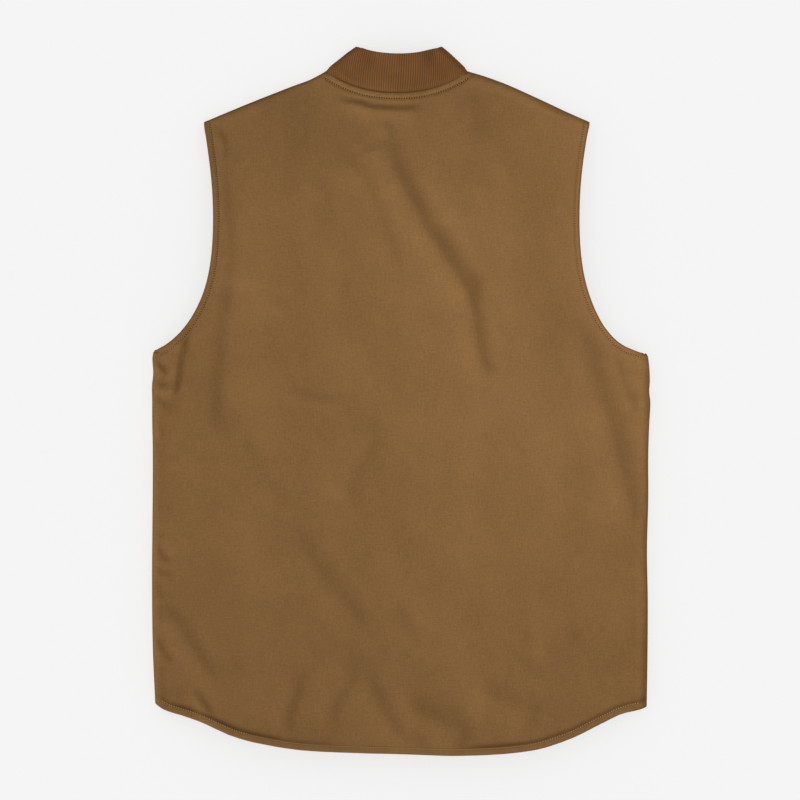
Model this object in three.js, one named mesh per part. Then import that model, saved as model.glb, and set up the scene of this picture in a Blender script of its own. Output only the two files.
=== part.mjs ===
// A sleeveless work vest of brown cotton duck with a rib-knit stand collar.
// It lies on its front with its back up.
// Millimetres. Seen from above, +X runs to the right and +Y to the collar. +Z is up.
// The origin is on the resting surface, under the middle of the vest's outline.

import * as THREE from "three";

const { clamp, lerp, smoothstep } = THREE.MathUtils;

// Cloth thicknesses
const WALL = 2.4; // duck, two plies
const TURN_IN = 1.2; // the further ply where an open edge is turned in
const RIB_WALL = 3.6; // rib knit, folded double
const SEAM_GAP = 0.3; // between two pieces that are sewn together
const NECK_GAP = 1.2; // at the neck, where straight facets meet a curve

// Outline of the right half, measured from the middle line
const HEM_CORNER = new THREE.Vector2(270.6, -333);
const SIDE_BULGE = 3.2;
const ARM_CORNER = new THREE.Vector2(271, 53);
const ARM_WAIST = new THREE.Vector2(201.3, 200); // where the armholes come closest
const SHOULDER_TIP = new THREE.Vector2(212.8, 307.5);
const NECK_POINT = new THREE.Vector2(78.2, 362); // where shoulder seam and collar meet
const ARM_PULL = { cornerIn: 57, cornerUp: 29, waistDown: 68, waistUp: 38, tipIn: 7.5, tipDown: 39 };
const ARM_SAMPLES = 24;
const FRONT_ARM_INSET = 8; // the front's armhole is cut deeper than the back's
const LEAN = -4.6; // the upper vest lies a little to the left
const LEAN_SPAN = { from: 30, to: 110 };

// Neck edge of the panels and free rim of the collar, from the middle line
const NECK = { halfWidth: NECK_POINT.x, side: NECK_POINT.y, back: 339.7, front: 272, lean: LEAN };
const RIM = { halfWidth: 46.2, side: 390, back: 382.4, front: 320, lean: -2.2 };
const NECK_POWER = { back: 2.2, front: 2.3 };
const RIB_PITCH = 2.65;
const RIB_DEPTH = 0.6;
const RIB_FAN = 0.42; // how far the ribs stay upright where the collar narrows
const COLLAR_ROWS = 2;
const LOOP_SAMPLES = 60;

// How far the back's hem hangs below its corners
const HEM = [
  { across: -270.6, drop: 0 },
  { across: -246, drop: 10 },
  { across: -200, drop: 28.5 },
  { across: -160, drop: 41.5 },
  { across: -105, drop: 51 },
  { across: 15, drop: 55.8 },
  { across: 70, drop: 56.9 },
  { across: 143, drop: 51 },
  { across: 186, drop: 37.5 },
  { across: 222, drop: 20 },
  { across: 246, drop: 8.5 },
  { across: 270.6, drop: 0 },
];
const FRONT_DROP = 30;
const FRONT_DROP_POWER = 2.4;

// Heights above the resting surface
const SEAM_HEIGHT = 7; // the side and shoulder seams
const EDGE_RISE = 5; // the rounded fold above those seams
const EDGE_ROLL = 8; // its width
const SIDE_REACH = 200; // from a side seam in to the full height
const SHOULDER_REACH = 120;
const ARM_SAG = { share: 0.65, reach: 90 }; // the free edge of the armhole sinks
const CROWN = [
  { up: -390, height: 27 },
  { up: -330, height: 30 },
  { up: -220, height: 36 },
  { up: -60, height: 40 },
  { up: 120, height: 40 },
  { up: 240, height: 35 },
  { up: 340, height: 27 },
  { up: 390, height: 24 },
];
const RIM_REACH = 60; // from the collar's folded side in to its full height, at its free edge

// Creases of the back: a valley from one place to another, with a low ridge on the side it is pushed from
const CREASES = [
  { x: -20, y: 313, toX: 106, toY: 27, bow: 11, width: 11, depth: 3.2 },
  { x: -56, y: 329, toX: 26, toY: 325, bow: 7, width: 8, depth: 2.4 },
  { x: -197, y: 116, toX: -207, toY: 0, bow: 0, width: 11, depth: 2.2 },
  { x: -236, y: 72, toX: -255, toY: -18, bow: 0, width: 9, depth: 2.2 },
  { x: 208, y: 62, toX: 262, toY: -97, bow: 6, width: 12, depth: 2.6 },
  { x: -22, y: -35, toX: -62, toY: -108, bow: 0, width: 15, depth: 2 },
  { x: -112, y: -138, toX: -38, toY: -232, bow: 0, width: 13, depth: 2.2 },
  { x: -256, y: -226, toX: -202, toY: -298, bow: 0, width: 12, depth: 2.2 },
  { x: -38, y: -290, toX: -76, toY: -346, bow: 0, width: 11, depth: 2 },
  { x: -36, y: -290, toX: 10, toY: -368, bow: 0, width: 11, depth: 2 },
];
const CREASE_RIDGE = { away: 1.7, share: 0.6 };
const CREASE_TAPER = { start: -0.12, full: 0.3, fading: 0.75, end: 1.12 }; // shares of its length
const CREASE_FADE = 30; // creases die out towards the seams

// Front zip, one plain T-section
const ZIP = { chain: 7.8, tape: 28, under: 0.6, inside: 4.1, tapeWall: 0.8, end: 4 };
const FRONT_SLOT = ZIP.chain / 2 + SEAM_GAP;

// Facets: stations in from an edge of the back or front, then an even step
const BACK_STATIONS = [0, 2, 7, 9.5, 17, 28];
const FOLD_STATIONS = [0, 2, 8];
const FACING_STATIONS = [0, 9, 11.5];
const TURN_WIDTH = 9; // the turned edge that the first stations lie on
const TURN_START = { from: 2, to: 24 }; // it grows over this distance from a seam
const BACK_STEP = { across: 22, neck: 17, side: 22, armhole: 22 };
const FRONT_STEP = { across: 80, neck: 11, side: 130, armhole: 30 };

const canvas = new THREE.MeshStandardMaterial({ color: 0x85623d, roughness: 0.95, metalness: 0 });
const ribKnit = new THREE.MeshStandardMaterial({ color: 0x6f4b2c, roughness: 0.95, metalness: 0 });
const zipTape = new THREE.MeshStandardMaterial({ color: 0x5b4128, roughness: 0.7, metalness: 0.1 });

// Small shapes: a quarter circle and a quarter sine, both from 0 to 1
const quarterRound = (q) => Math.sqrt(1 - (1 - clamp(q, 0, 1)) ** 2);
const quarterSine = (q) => Math.sin((clamp(q, 0, 1) * Math.PI) / 2);
const lean = (y) => LEAN * smoothstep(y, LEAN_SPAN.from, LEAN_SPAN.to);

// A value read from a table at a place along it, on a smooth curve through its rows.
function readTable(table, alongName, valueName, place) {
  const last = table.length - 1;
  const at = clamp(place, table[0][alongName], table[last][alongName]);
  const found = table.findIndex((row, i) => i < last && at <= table[i + 1][alongName]);
  const slope = (i) => {
    const before = table[Math.max(i - 1, 0)];
    const after = table[Math.min(i + 1, last)];
    return (after[valueName] - before[valueName]) / (after[alongName] - before[alongName]);
  };
  const [a, b] = [table[found], table[found + 1]];
  const span = b[alongName] - a[alongName];
  const t = (at - a[alongName]) / span;
  const rise = b[valueName] - a[valueName];
  const bend = slope(found) * span - rise;
  const bendBack = rise - slope(found + 1) * span;
  return a[valueName] + rise * t + t * (1 - t) * (bend * (1 - t) + bendBack * t);
}

// Side seam and armhole of one panel as one curve, from the hem's corner up to the shoulder's tip.
function outerEdge(armInset) {
  const waist = ARM_WAIST.clone().setX(ARM_WAIST.x - armInset);
  const edge = new THREE.CurvePath();
  edge.add(new THREE.QuadraticBezierCurve(HEM_CORNER, sideControl(), ARM_CORNER));
  edge.add(
    new THREE.CubicBezierCurve(
      ARM_CORNER,
      new THREE.Vector2(ARM_CORNER.x - ARM_PULL.cornerIn, ARM_CORNER.y + ARM_PULL.cornerUp),
      new THREE.Vector2(waist.x, waist.y - ARM_PULL.waistDown),
      waist,
    ),
  );
  edge.add(
    new THREE.CubicBezierCurve(
      waist,
      new THREE.Vector2(waist.x, waist.y + ARM_PULL.waistUp),
      new THREE.Vector2(SHOULDER_TIP.x - ARM_PULL.tipIn, SHOULDER_TIP.y - ARM_PULL.tipDown),
      SHOULDER_TIP,
    ),
  );
  return edge;
}

function sideControl() {
  const middle = HEM_CORNER.clone().add(ARM_CORNER).multiplyScalar(0.5);
  return middle.setX(middle.x + 2 * SIDE_BULGE);
}

const BACK_EDGE = outerEdge(0);
const FRONT_EDGE = outerEdge(FRONT_ARM_INSET);
const SIDE_SEAM = BACK_EDGE.curves[0];
const ARMHOLE_POINTS = BACK_EDGE.curves.slice(1).flatMap((curve) => curve.getSpacedPoints(ARM_SAMPLES));
const SHOULDER_SEAM = new THREE.Line3(
  new THREE.Vector3(NECK_POINT.x, NECK_POINT.y, 0),
  new THREE.Vector3(SHOULDER_TIP.x, SHOULDER_TIP.y, 0),
);

// A point of the half outline on the left or right, side -1 or 1.
const placed = (point, side) => new THREE.Vector2(side * point.x + lean(point.y), point.y);

const backHemY = (x) => HEM_CORNER.y - readTable(HEM, "across", "drop", x);
const frontHemY = (x) =>
  HEM_CORNER.y - FRONT_DROP * (1 - Math.min(Math.abs(x) / HEM_CORNER.x, 1) ** FRONT_DROP_POWER);

// Height of the collar's seam or rim line over the middle line, where part is back or front.
function neckY(line, part, halfX) {
  const q = Math.min(Math.abs(halfX) / line.halfWidth, 1);
  return lerp(line[part], line.side, q ** NECK_POWER[part]);
}

// The upper edge of a panel over a place across it: the shoulder, then the neck.
function topY(part, x) {
  const half = Math.abs(x - LEAN);
  if (half < NECK_POINT.x) return neckY(NECK, part, half);
  const share = (half - NECK_POINT.x) / (SHOULDER_TIP.x - NECK_POINT.x);
  return lerp(NECK_POINT.y, SHOULDER_TIP.y, share);
}

function distanceToSideSeam(x, y) {
  const t = clamp((y - HEM_CORNER.y) / (ARM_CORNER.y - HEM_CORNER.y), 0, 1);
  const seam = SIDE_SEAM.getPoint(t);
  return Math.hypot(seam.x - Math.abs(x - lean(y)), y - seam.y);
}

function distanceToShoulder(x, y) {
  const point = new THREE.Vector3(Math.abs(x - lean(y)), y, 0);
  return SHOULDER_SEAM.closestPointToPoint(point, true, new THREE.Vector3()).distanceTo(point);
}

function distanceToArmhole(x, y) {
  const point = new THREE.Vector2(Math.abs(x - lean(y)), y);
  return Math.min(...ARMHOLE_POINTS.map((p) => p.distanceTo(point)));
}

// How the creases raise or lower the back at a place.
function creaseRelief(x, y) {
  return CREASES.reduce((sum, crease) => {
    const along = new THREE.Vector2(crease.toX - crease.x, crease.toY - crease.y);
    const length = along.length();
    along.divideScalar(length);
    const from = new THREE.Vector2(x - crease.x, y - crease.y);
    const t = from.dot(along) / length;
    const off = along.cross(from) - crease.bow * 4 * t * (1 - t);
    const rising = smoothstep(t, CREASE_TAPER.start, CREASE_TAPER.full);
    const taper = rising * (1 - smoothstep(t, CREASE_TAPER.fading, CREASE_TAPER.end));
    const hump = (away) => Math.exp(-(((off - away * crease.width) / crease.width) ** 2));
    return sum + crease.depth * taper * (CREASE_RIDGE.share * hump(-CREASE_RIDGE.away) - hump(0));
  }, 0);
}

// Height of the back's outer face.
function backHeight(x, y) {
  const side = distanceToSideSeam(x, y);
  const shoulder = distanceToShoulder(x, y);
  const roll = quarterRound(side / EDGE_ROLL) * quarterRound(shoulder / EDGE_ROLL);
  const spread = quarterSine(side / SIDE_REACH) * quarterSine(shoulder / SHOULDER_REACH);
  const sag = 1 - ARM_SAG.share * (1 - smoothstep(distanceToArmhole(x, y), 0, ARM_SAG.reach));
  const crown = readTable(CROWN, "up", "height", y) - SEAM_HEIGHT - EDGE_RISE;
  const calm = smoothstep(Math.min(side, shoulder), 0, CREASE_FADE);
  return SEAM_HEIGHT + SEAM_GAP / 2 + EDGE_RISE * roll + crown * spread * sag + calm * creaseRelief(x, y);
}

// Height of the front's outer face, which lies flat and turns up to the seams.
function frontHeight(x, y) {
  const side = quarterRound(distanceToSideSeam(x, y) / EDGE_ROLL);
  const shoulder = quarterRound(distanceToShoulder(x, y) / EDGE_ROLL);
  return (SEAM_HEIGHT - SEAM_GAP / 2) * (1 - side * shoulder);
}

// A place inside four edge curves, s across from left to right and v up from bottom to top.
function patchPoint({ left, right, bottom, top }, s, v) {
  const blend = (t, a, b) => a.clone().lerp(b, t);
  const corners = blend(v, blend(s, bottom(0), bottom(1)), blend(s, top(0), top(1)));
  return blend(v, bottom(s), top(s)).add(blend(s, left(v), right(v))).sub(corners);
}

// Lists that start where the one before ends, as one list.
const joined = (...lists) => lists.flatMap((list, i) => (i ? list.slice(1) : list));

// Stations from one place to another at an even step, with others given in from each end.
function stations(from, to, step, nearStart = [0], nearEnd = [0]) {
  const near = nearStart.map((d) => from + d);
  const far = nearEnd.map((d) => to - d).reverse();
  const count = Math.max(1, Math.round((far[0] - near.at(-1)) / step));
  const even = Array.from({ length: count + 1 }, (_, i) => lerp(near.at(-1), far[0], i / count));
  return joined(near, even, far);
}

// Unit normals of a grid of points, on the side that columns then rows turn to.
function gridNormals(grid) {
  const pick = (r, c) => grid[clamp(r, 0, grid.length - 1)][clamp(c, 0, grid[0].length - 1)];
  return grid.map((row, r) =>
    row.map((_, c) => {
      const across = pick(r, c + 1).clone().sub(pick(r, c - 1));
      const up = pick(r + 1, c).clone().sub(pick(r - 1, c));
      return across.cross(up).normalize();
    }),
  );
}

// A closed wall between a face, given as a grid of points, and its inside.
// thickness, relief and upright give its depth, its grooves and its vertical edges at a row and a column.
function wall(name, material, face, { thickness, relief = () => 0, upright = () => false }) {
  const normals = gridNormals(face);
  const inside = face.map((row, r) =>
    row.map((point, c) => {
      if (upright(r, c)) normals[r][c].setZ(0).normalize();
      return point.clone().addScaledVector(normals[r][c], -thickness(r, c));
    }),
  );
  const outside = face.map((row, r) =>
    row.map((point, c) => point.clone().addScaledVector(normals[r][c], -relief(r, c))),
  );
  const rows = face.length;
  const columns = face[0].length;
  const outer = (r, c) => r * columns + c;
  const inner = (r, c) => rows * columns + r * columns + c;
  const index = [];
  const quad = (a, b, c, d) => index.push(a, b, c, a, c, d);
  for (let r = 0; r < rows - 1; r++)
    for (let c = 0; c < columns - 1; c++) {
      quad(outer(r, c), outer(r, c + 1), outer(r + 1, c + 1), outer(r + 1, c));
      quad(inner(r, c), inner(r + 1, c), inner(r + 1, c + 1), inner(r, c + 1));
    }
  for (let c = 0; c < columns - 1; c++) {
    quad(outer(0, c), inner(0, c), inner(0, c + 1), outer(0, c + 1));
    quad(outer(rows - 1, c), outer(rows - 1, c + 1), inner(rows - 1, c + 1), inner(rows - 1, c));
  }
  for (let r = 0; r < rows - 1; r++) {
    quad(outer(r, 0), outer(r + 1, 0), inner(r + 1, 0), inner(r, 0));
    quad(outer(r, columns - 1), inner(r, columns - 1), inner(r + 1, columns - 1), outer(r + 1, columns - 1));
  }
  const geometry = new THREE.BufferGeometry().setFromPoints([...outside.flat(), ...inside.flat()]);
  geometry.setIndex(index);
  geometry.computeVertexNormals();
  const mesh = new THREE.Mesh(geometry, material);
  mesh.name = name;
  return mesh;
}

// Rows of a panel as shares of its outer edge, with the row of the armhole's corner.
function panelRows(edge, step, nearHem, nearShoulder) {
  const [sideLength, length] = [edge.curves[0].getLength(), edge.getLength()];
  const side = stations(0, sideLength, step.side, nearHem);
  const arm = stations(sideLength, length, step.armhole, [0], nearShoulder);
  return { rows: joined(side, arm).map((d) => d / length), cornerRow: side.length - 1 };
}

// The back, one piece from side seam to side seam.
function backPanel() {
  const width = 2 * HEM_CORNER.x;
  const neckSide = (width * (1 - NECK_POINT.x / SHOULDER_TIP.x)) / 2;
  const columns = joined(
    stations(0, neckSide, BACK_STEP.across, BACK_STATIONS),
    stations(neckSide, width - neckSide, BACK_STEP.neck),
    stations(width - neckSide, width, BACK_STEP.across, [0], BACK_STATIONS),
  ).map((d) => d / width);
  const { rows, cornerRow } = panelRows(BACK_EDGE, BACK_STEP, BACK_STATIONS, BACK_STATIONS);
  const edges = {
    left: (v) => placed(BACK_EDGE.getPoint(v), -1),
    right: (v) => placed(BACK_EDGE.getPoint(v), 1),
    bottom: (s) => {
      const x = lerp(-HEM_CORNER.x, HEM_CORNER.x, s);
      return new THREE.Vector2(x, backHemY(x));
    },
    top: (s) => {
      const x = LEAN + lerp(-SHOULDER_TIP.x, SHOULDER_TIP.x, s);
      return new THREE.Vector2(x, topY("back", x));
    },
  };
  const face = rows.map((v) =>
    columns.map((s) => {
      const { x, y } = patchPoint(edges, s, v);
      return new THREE.Vector3(x, y, backHeight(x, y));
    }),
  );
  const lastRow = rows.length - 1;
  const lastColumn = columns.length - 1;
  const turns = BACK_STATIONS.filter((d) => d < TURN_WIDTH).length;
  const inNeck = (c) => Math.min(columns[c], 1 - columns[c]) * width > neckSide + SEAM_GAP;
  const turned = (r, c) =>
    r < turns ||
    (r > cornerRow && Math.min(c, lastColumn - c) < turns) ||
    (lastRow - r < turns && inNeck(c));
  return wall("back_panel", canvas, face, {
    thickness: (r, c) => WALL + (turned(r, c) ? TURN_IN * openShare(face[r][c]) : 0),
    upright: (r, c) =>
      ((c === 0 || c === lastColumn) && r <= cornerRow) || (r === lastRow && !inNeck(c)),
  });
}

// How far a turned edge has come away from the seams: 0 at a seam, 1 clear of it.
function openShare({ x, y }) {
  const seam = Math.min(distanceToSideSeam(x, y), distanceToShoulder(x, y));
  return smoothstep(seam, TURN_START.from, TURN_START.to);
}

// One front, from its side seam to the zip, side -1 on the left of the picture and 1 on the right.
function frontPanel(name, side) {
  const width = HEM_CORNER.x - FRONT_SLOT;
  const topWidth = SHOULDER_TIP.x - FRONT_SLOT;
  const neckSide = (width * (SHOULDER_TIP.x - NECK_POINT.x)) / topWidth;
  const columns = joined(
    stations(0, neckSide, FRONT_STEP.across, FOLD_STATIONS),
    stations(neckSide, width, FRONT_STEP.neck, [0], FACING_STATIONS),
  ).map((d) => d / width);
  const { rows, cornerRow } = panelRows(FRONT_EDGE, FRONT_STEP, [0], FOLD_STATIONS);
  const middle = LEAN + side * FRONT_SLOT;
  const edges = {
    left: (v) => placed(FRONT_EDGE.getPoint(v), side),
    right: (v) => new THREE.Vector2(middle, lerp(frontHemY(middle), topY("front", middle), v)),
    bottom: (s) => {
      const x = lerp(side * HEM_CORNER.x, middle, s);
      return new THREE.Vector2(x, frontHemY(x));
    },
    top: (s) => {
      const x = lerp(LEAN + side * SHOULDER_TIP.x, middle, s);
      return new THREE.Vector2(x, topY("front", x));
    },
  };
  const lastRow = rows.length - 1;
  const lastColumn = columns.length - 1;
  const inNeck = (c) => columns[c] * width > neckSide + SEAM_GAP;
  const faced = (c) => (1 - columns[c]) * width < TURN_WIDTH + SEAM_GAP;
  const column = (c) => (side < 0 ? lastColumn - c : c); // the outer face looks down
  const face = rows.map((v) =>
    columns.map((_, c) => {
      const { x, y } = patchPoint(edges, columns[column(c)], v);
      return new THREE.Vector3(x, y, frontHeight(x, y));
    }),
  );
  return wall(name, canvas, face, {
    thickness: (r, c) => WALL + (faced(column(c)) ? TURN_IN : 0),
    upright: (r, c) =>
      (column(c) === 0 && r <= cornerRow) || (r === lastRow && !inNeck(column(c))),
  });
}

// Half of the collar's loop at a share of its height.
// It runs from the middle of the back, round the fold, to the zip.
function collarLoop(share) {
  const foot = {
    ...NECK,
    halfWidth: NECK.halfWidth - NECK_GAP,
    side: NECK.side + 2 * NECK_GAP,
    back: NECK.back + NECK_GAP,
    front: NECK.front + NECK_GAP,
  };
  const mixed = Object.keys(foot).map((name) => [name, lerp(foot[name], RIM[name], share)]);
  const line = Object.fromEntries(mixed);
  const reach = lerp(SHOULDER_REACH, RIM_REACH, share);
  const away = (part, x) => Math.hypot(line.halfWidth - x, line.side - neckY(line, part, x));
  const backZ = (x) => {
    const crown = readTable(CROWN, "up", "height", line.back) - SEAM_HEIGHT - EDGE_RISE;
    const d = away("back", x);
    return SEAM_HEIGHT + EDGE_RISE * quarterRound(d / EDGE_ROLL) + crown * quarterSine(d / reach);
  };
  const frontZ = (x) => lerp(SEAM_HEIGHT, SEAM_GAP, quarterRound(away("front", x) / EDGE_ROLL));
  const point = (part, z) => (x) => new THREE.Vector3(x, neckY(line, part, x), z(x));
  const fromFold = (toX) =>
    Array.from({ length: LOOP_SAMPLES + 1 }, (_, k) => lerp(line.halfWidth, toX, (k / LOOP_SAMPLES) ** 2));
  const back = fromFold(0).reverse().map(point("back", backZ));
  const front = fromFold(FRONT_SLOT).map(point("front", frontZ));
  return { lean: line.lean, points: joined(back, front) };
}

// The point at a share of a line's length.
function pointAlong(points, share) {
  const lengths = points.slice(1).map((p, i) => p.distanceTo(points[i]));
  let left = share * lengths.reduce((a, b) => a + b, 0);
  const i = lengths.findIndex((length) => (left -= length) <= 0);
  const segment = i < 0 ? lengths.length - 1 : i;
  return points[segment + 1].clone().lerp(points[segment], clamp(-left / lengths[segment], 0, 1));
}

// The rib-knit collar, one strip from the zip round the neck and back to the zip.
function ribCollar() {
  const seam = collarLoop(0).points;
  const seamLength = seam.slice(1).reduce((sum, p, i) => sum + p.distanceTo(seam[i]), 0);
  const halfRibs = Math.round(seamLength / RIB_PITCH);
  const columns = Array.from({ length: 4 * halfRibs + 1 }, (_, i) => i / (2 * halfRibs) - 1);
  const face = Array.from({ length: COLLAR_ROWS + 1 }, (_, r) => {
    const share = r / COLLAR_ROWS;
    const loop = collarLoop(share);
    return columns.map((u) => {
      const along = Math.abs(u) * (1 + RIB_FAN * share * (1 - Math.abs(u)));
      const p = pointAlong(loop.points, along);
      const middle = lerp(loop.lean, LEAN, smoothstep(along, 0.5, 1)); // the zip stays straight
      return p.setX(middle + Math.sign(u) * p.x);
    });
  });
  return wall("rib_collar", ribKnit, face, {
    thickness: (r, c) => RIB_WALL - (c % 2) * RIB_DEPTH,
    relief: (r, c) => (c % 2) * RIB_DEPTH,
  });
}

// The closed zip: its tape lies inside the front edges and its chain stands between them.
function frontZip() {
  const [chain, tape, top] = [ZIP.chain / 2, ZIP.tape / 2, ZIP.inside + ZIP.tapeWall];
  const section = new THREE.Shape();
  section.moveTo(-chain, ZIP.under);
  section.lineTo(chain, ZIP.under);
  section.lineTo(chain, ZIP.inside);
  section.lineTo(tape, ZIP.inside);
  section.lineTo(tape, top);
  section.lineTo(-tape, top);
  section.lineTo(-tape, ZIP.inside);
  section.lineTo(-chain, ZIP.inside);
  const from = frontHemY(LEAN) + ZIP.end;
  const to = RIM.front - ZIP.end;
  const geometry = new THREE.ExtrudeGeometry(section, { depth: to - from, bevelEnabled: false });
  const mesh = new THREE.Mesh(geometry, zipTape);
  mesh.name = "front_zip";
  mesh.rotation.x = Math.PI / 2;
  mesh.position.set(LEAN, to, 0);
  return mesh;
}

const vest = new THREE.Group();
vest.add(
  backPanel(),
  frontPanel("front_panel_left", -1),
  frontPanel("front_panel_right", 1),
  ribCollar(),
  frontZip(),
);

export default vest;
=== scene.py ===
"""A work vest of brown cotton duck with a rib-knit collar, lying on its front with its back up.

The script dresses the vest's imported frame. It is laid out as an add-on and is run as a script.
Everything is in metres, in the frame's own axes: +X right, +Y to the collar, +Z up.
"""

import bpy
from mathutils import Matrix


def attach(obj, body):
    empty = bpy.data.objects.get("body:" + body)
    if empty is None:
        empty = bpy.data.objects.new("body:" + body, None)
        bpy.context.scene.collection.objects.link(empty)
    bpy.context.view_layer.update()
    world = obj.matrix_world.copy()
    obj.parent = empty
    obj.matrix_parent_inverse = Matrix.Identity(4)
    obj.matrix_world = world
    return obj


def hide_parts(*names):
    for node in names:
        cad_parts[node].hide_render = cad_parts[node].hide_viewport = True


bl_info = {
    "name": "Duck work vest",
    "version": (1, 0, 0),
    "blender": (4, 5, 0),
    "location": "3D View > Sidebar > Vest",
    "description": "Makes the duck panels, rib collar, zip, stitching and stage of a work vest",
    "category": "Object",
}

import math
from typing import NamedTuple

import bpy
import numpy as np
from bpy.props import FloatProperty, FloatVectorProperty, PointerProperty
from bpy.types import Operator, Panel, PropertyGroup
from mathutils import Vector
from mathutils.bvhtree import BVHTree

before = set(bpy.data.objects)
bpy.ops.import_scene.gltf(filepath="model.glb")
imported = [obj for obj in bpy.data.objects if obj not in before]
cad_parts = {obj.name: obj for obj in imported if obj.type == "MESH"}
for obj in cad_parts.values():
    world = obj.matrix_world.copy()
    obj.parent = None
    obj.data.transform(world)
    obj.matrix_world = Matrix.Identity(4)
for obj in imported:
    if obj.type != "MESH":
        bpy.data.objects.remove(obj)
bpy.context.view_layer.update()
BODY = "root"

# Outline of the right half, measured from the middle line
HEM_CORNER = (0.2706, -0.333)
SIDE_BULGE = 0.0032
ARM_CORNER = (0.271, 0.053)
ARM_WAIST = (0.2013, 0.2)  # where the armholes come closest
SHOULDER_TIP = (0.2128, 0.3075)
NECK_POINT = (0.0782, 0.3636)  # where shoulder seam and collar meet
ARM_CORNER_PULL = (-0.057, 0.029)
ARM_WAIST_PULL = {"down": 0.068, "up": 0.038}
SHOULDER_PULL = (-0.0075, -0.039)
FRONT_ARM_INSET = 0.008  # the front's armhole is cut deeper than the back's
LEAN = -0.0046  # the upper vest lies a little to the left
LEAN_SPAN = (0.03, 0.11)
ARM_TILT = {-1: -0.0018, 1: 0.002}  # how far each armhole's corner lies below its cut
ARM_TILT_SPAN = 0.07
HEM_TILT = {-1: 0.0, 1: 0.0034}
HEM_TILT_SPAN = (0.235, 0.2706)
HEM_TILT_RISE = 0.03
ARM_DIP = (0.236, 0.022, 0.006)  # where, how wide and how far the right armhole sags
ARM_DIP_RISE = (0.045, 0.06)
ARM_DIP_FALL = (0.09, 0.13)
HALF_ROUNDS = 12  # to find a place on the half outline
SIDE_WAVES = {  # how far each side seam lies to the right of its cut, by height
    -1: (
        (-0.333, 0.0), (-0.27, -0.001), (-0.2, -0.0006), (-0.108, 0.0004), (-0.053, 0.0), (-0.02, -0.0012),
        (0.0, -0.0016), (0.016, -0.0022), (0.029, -0.0012), (0.045, -0.0022), (0.053, -0.001),
        (0.09, -0.0014), (0.2, -0.0012), (0.28, -0.0012), (0.3075, 0.0),
    ),
    1: (
        (-0.333, 0.0), (-0.27, -0.0008), (-0.218, -0.0016), (-0.163, -0.003), (-0.108, -0.0016),
        (-0.06, -0.0012), (-0.025, 0.0004), (0.0, 0.0022), (0.012, 0.0012), (0.024, 0.0022), (0.04, 0.0022),
        (0.053, 0.0018), (0.09, 0.0),
    ),
}
SHOULDER_WAVES = {  # how far each shoulder seam lies above a straight line, from the neck to the tip
    -1: (
        (0.0, 0.0), (0.07, -0.0013), (0.14, -0.0021), (0.22, -0.0015), (0.3, -0.001), (0.65, 0.0),
        (1.0, 0.0),
    ),
    1: ((0.0, 0.0), (0.14, 0.0022), (0.33, 0.0034), (0.65, 0.0018), (0.8, 0.0007), (1.0, 0.0)),
}

# Hems: how far they hang below the corners
HEM_DROP = (
    (-0.2706, 0.0), (-0.262, 0.0055), (-0.252, 0.0094), (-0.24, 0.0128), (-0.22, 0.0198), (-0.2, 0.0287),
    (-0.186, 0.0346), (-0.16, 0.0418), (-0.105, 0.0504), (0.015, 0.0549), (0.07, 0.0561), (0.143, 0.0506),
    (0.186, 0.0378), (0.222, 0.0205), (0.246, 0.009), (0.2706, 0.0),
)
FRONT_DROP = 0.03
FRONT_DROP_POWER = 2.4

# Heights above the resting surface
SEAM_HEIGHT = 0.007  # the side and shoulder seams
SEAM_GAP = 0.0003
EDGE_RISE = 0.005  # the rounded fold above those seams
EDGE_ROLL = 0.008
SIDE_REACH = 0.2  # from a side seam in to the full height
SHOULDER_REACH = 0.12
ARM_SAG_SHARE = 0.65
ARM_SAG_REACH = 0.09
CROWN = (
    (-0.39, 0.027), (-0.33, 0.03), (-0.22, 0.036), (-0.06, 0.04), (0.12, 0.04), (0.24, 0.035),
    (0.34, 0.027), (0.39, 0.024),
)


class CollarLine(NamedTuple):
    """A line round the collar: the neck seam or the free rim."""

    half_width: float
    side: float
    back: float
    front: float
    lean: float


# Collar
NECK = CollarLine(NECK_POINT[0], NECK_POINT[1], 0.3397, 0.272, LEAN)
RIM = CollarLine(0.0466, 0.3916, 0.3824, 0.32, -0.0022)
COLLAR_BOW = 0.0008  # the collar's sides bow out by this
COLLAR_DENTS = (  # where the rim dips: place at the rim and at the foot, width and depth
    (-0.034, -0.042, 0.009, 0.004),
    (0.036, 0.028, 0.008, 0.0035),
)
DENT_SPAN = (0.2, 1.0)
COLLAR_RISE = 0.01  # the rounded fold at the rim's sides
COLLAR_SEAM = 0.03  # the foot's groove, as a share of the collar's height
NECK_POWER = {"back": 2.2, "front": 2.3}
NECK_GAP = 0.0012
RIM_REACH = 0.06
COLLAR_TUCK = -0.1  # the foot runs in under the duck by this share of the collar's height
COLLAR_ROWS = 30
COLLAR_STRAIGHT = (0.5, 1.0)  # where the strip leaves the rim's lean for the zip
RIB_SAMPLES = 6  # across one rib
RIB_ROUND = 0.8  # below 1 a rib's crest is broader than the valley
FOOT_RIBS = 0.35  # depth of the ribs at the foot, as a share
LOOP_POINTS = 160
LOOP_CROWDING = 2  # draws the points together at the collar's sides

# Zip
ZIP_CHAIN = 0.0078
ZIP_TAPE = 0.028
ZIP_UNDER = 0.0006
ZIP_INSIDE = 0.0041
ZIP_TAPE_WALL = 0.0008
ZIP_END = 0.004
ZIP_PITCH = 0.0026
TOOTH_WIDTH = 0.0052
TOOTH_LENGTH = 0.8  # along the zip, as a share of the pitch
TOOTH_ASIDE = 0.0011
TOOTH_BEVEL = 0.0004
TAPE_SQUARES = (8, 160)
SMOOTH_ANGLE = math.radians(40)
FRONT_SLOT = ZIP_CHAIN / 2 + SEAM_GAP


class StitchLook(NamedTuple):
    """How an edge's stitches show: radius of the painted needle-hole shadow, lift, and shares of the
    thread's length and thickness.
    """

    hole: float
    lift: float
    length: float
    thickness: float


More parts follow.
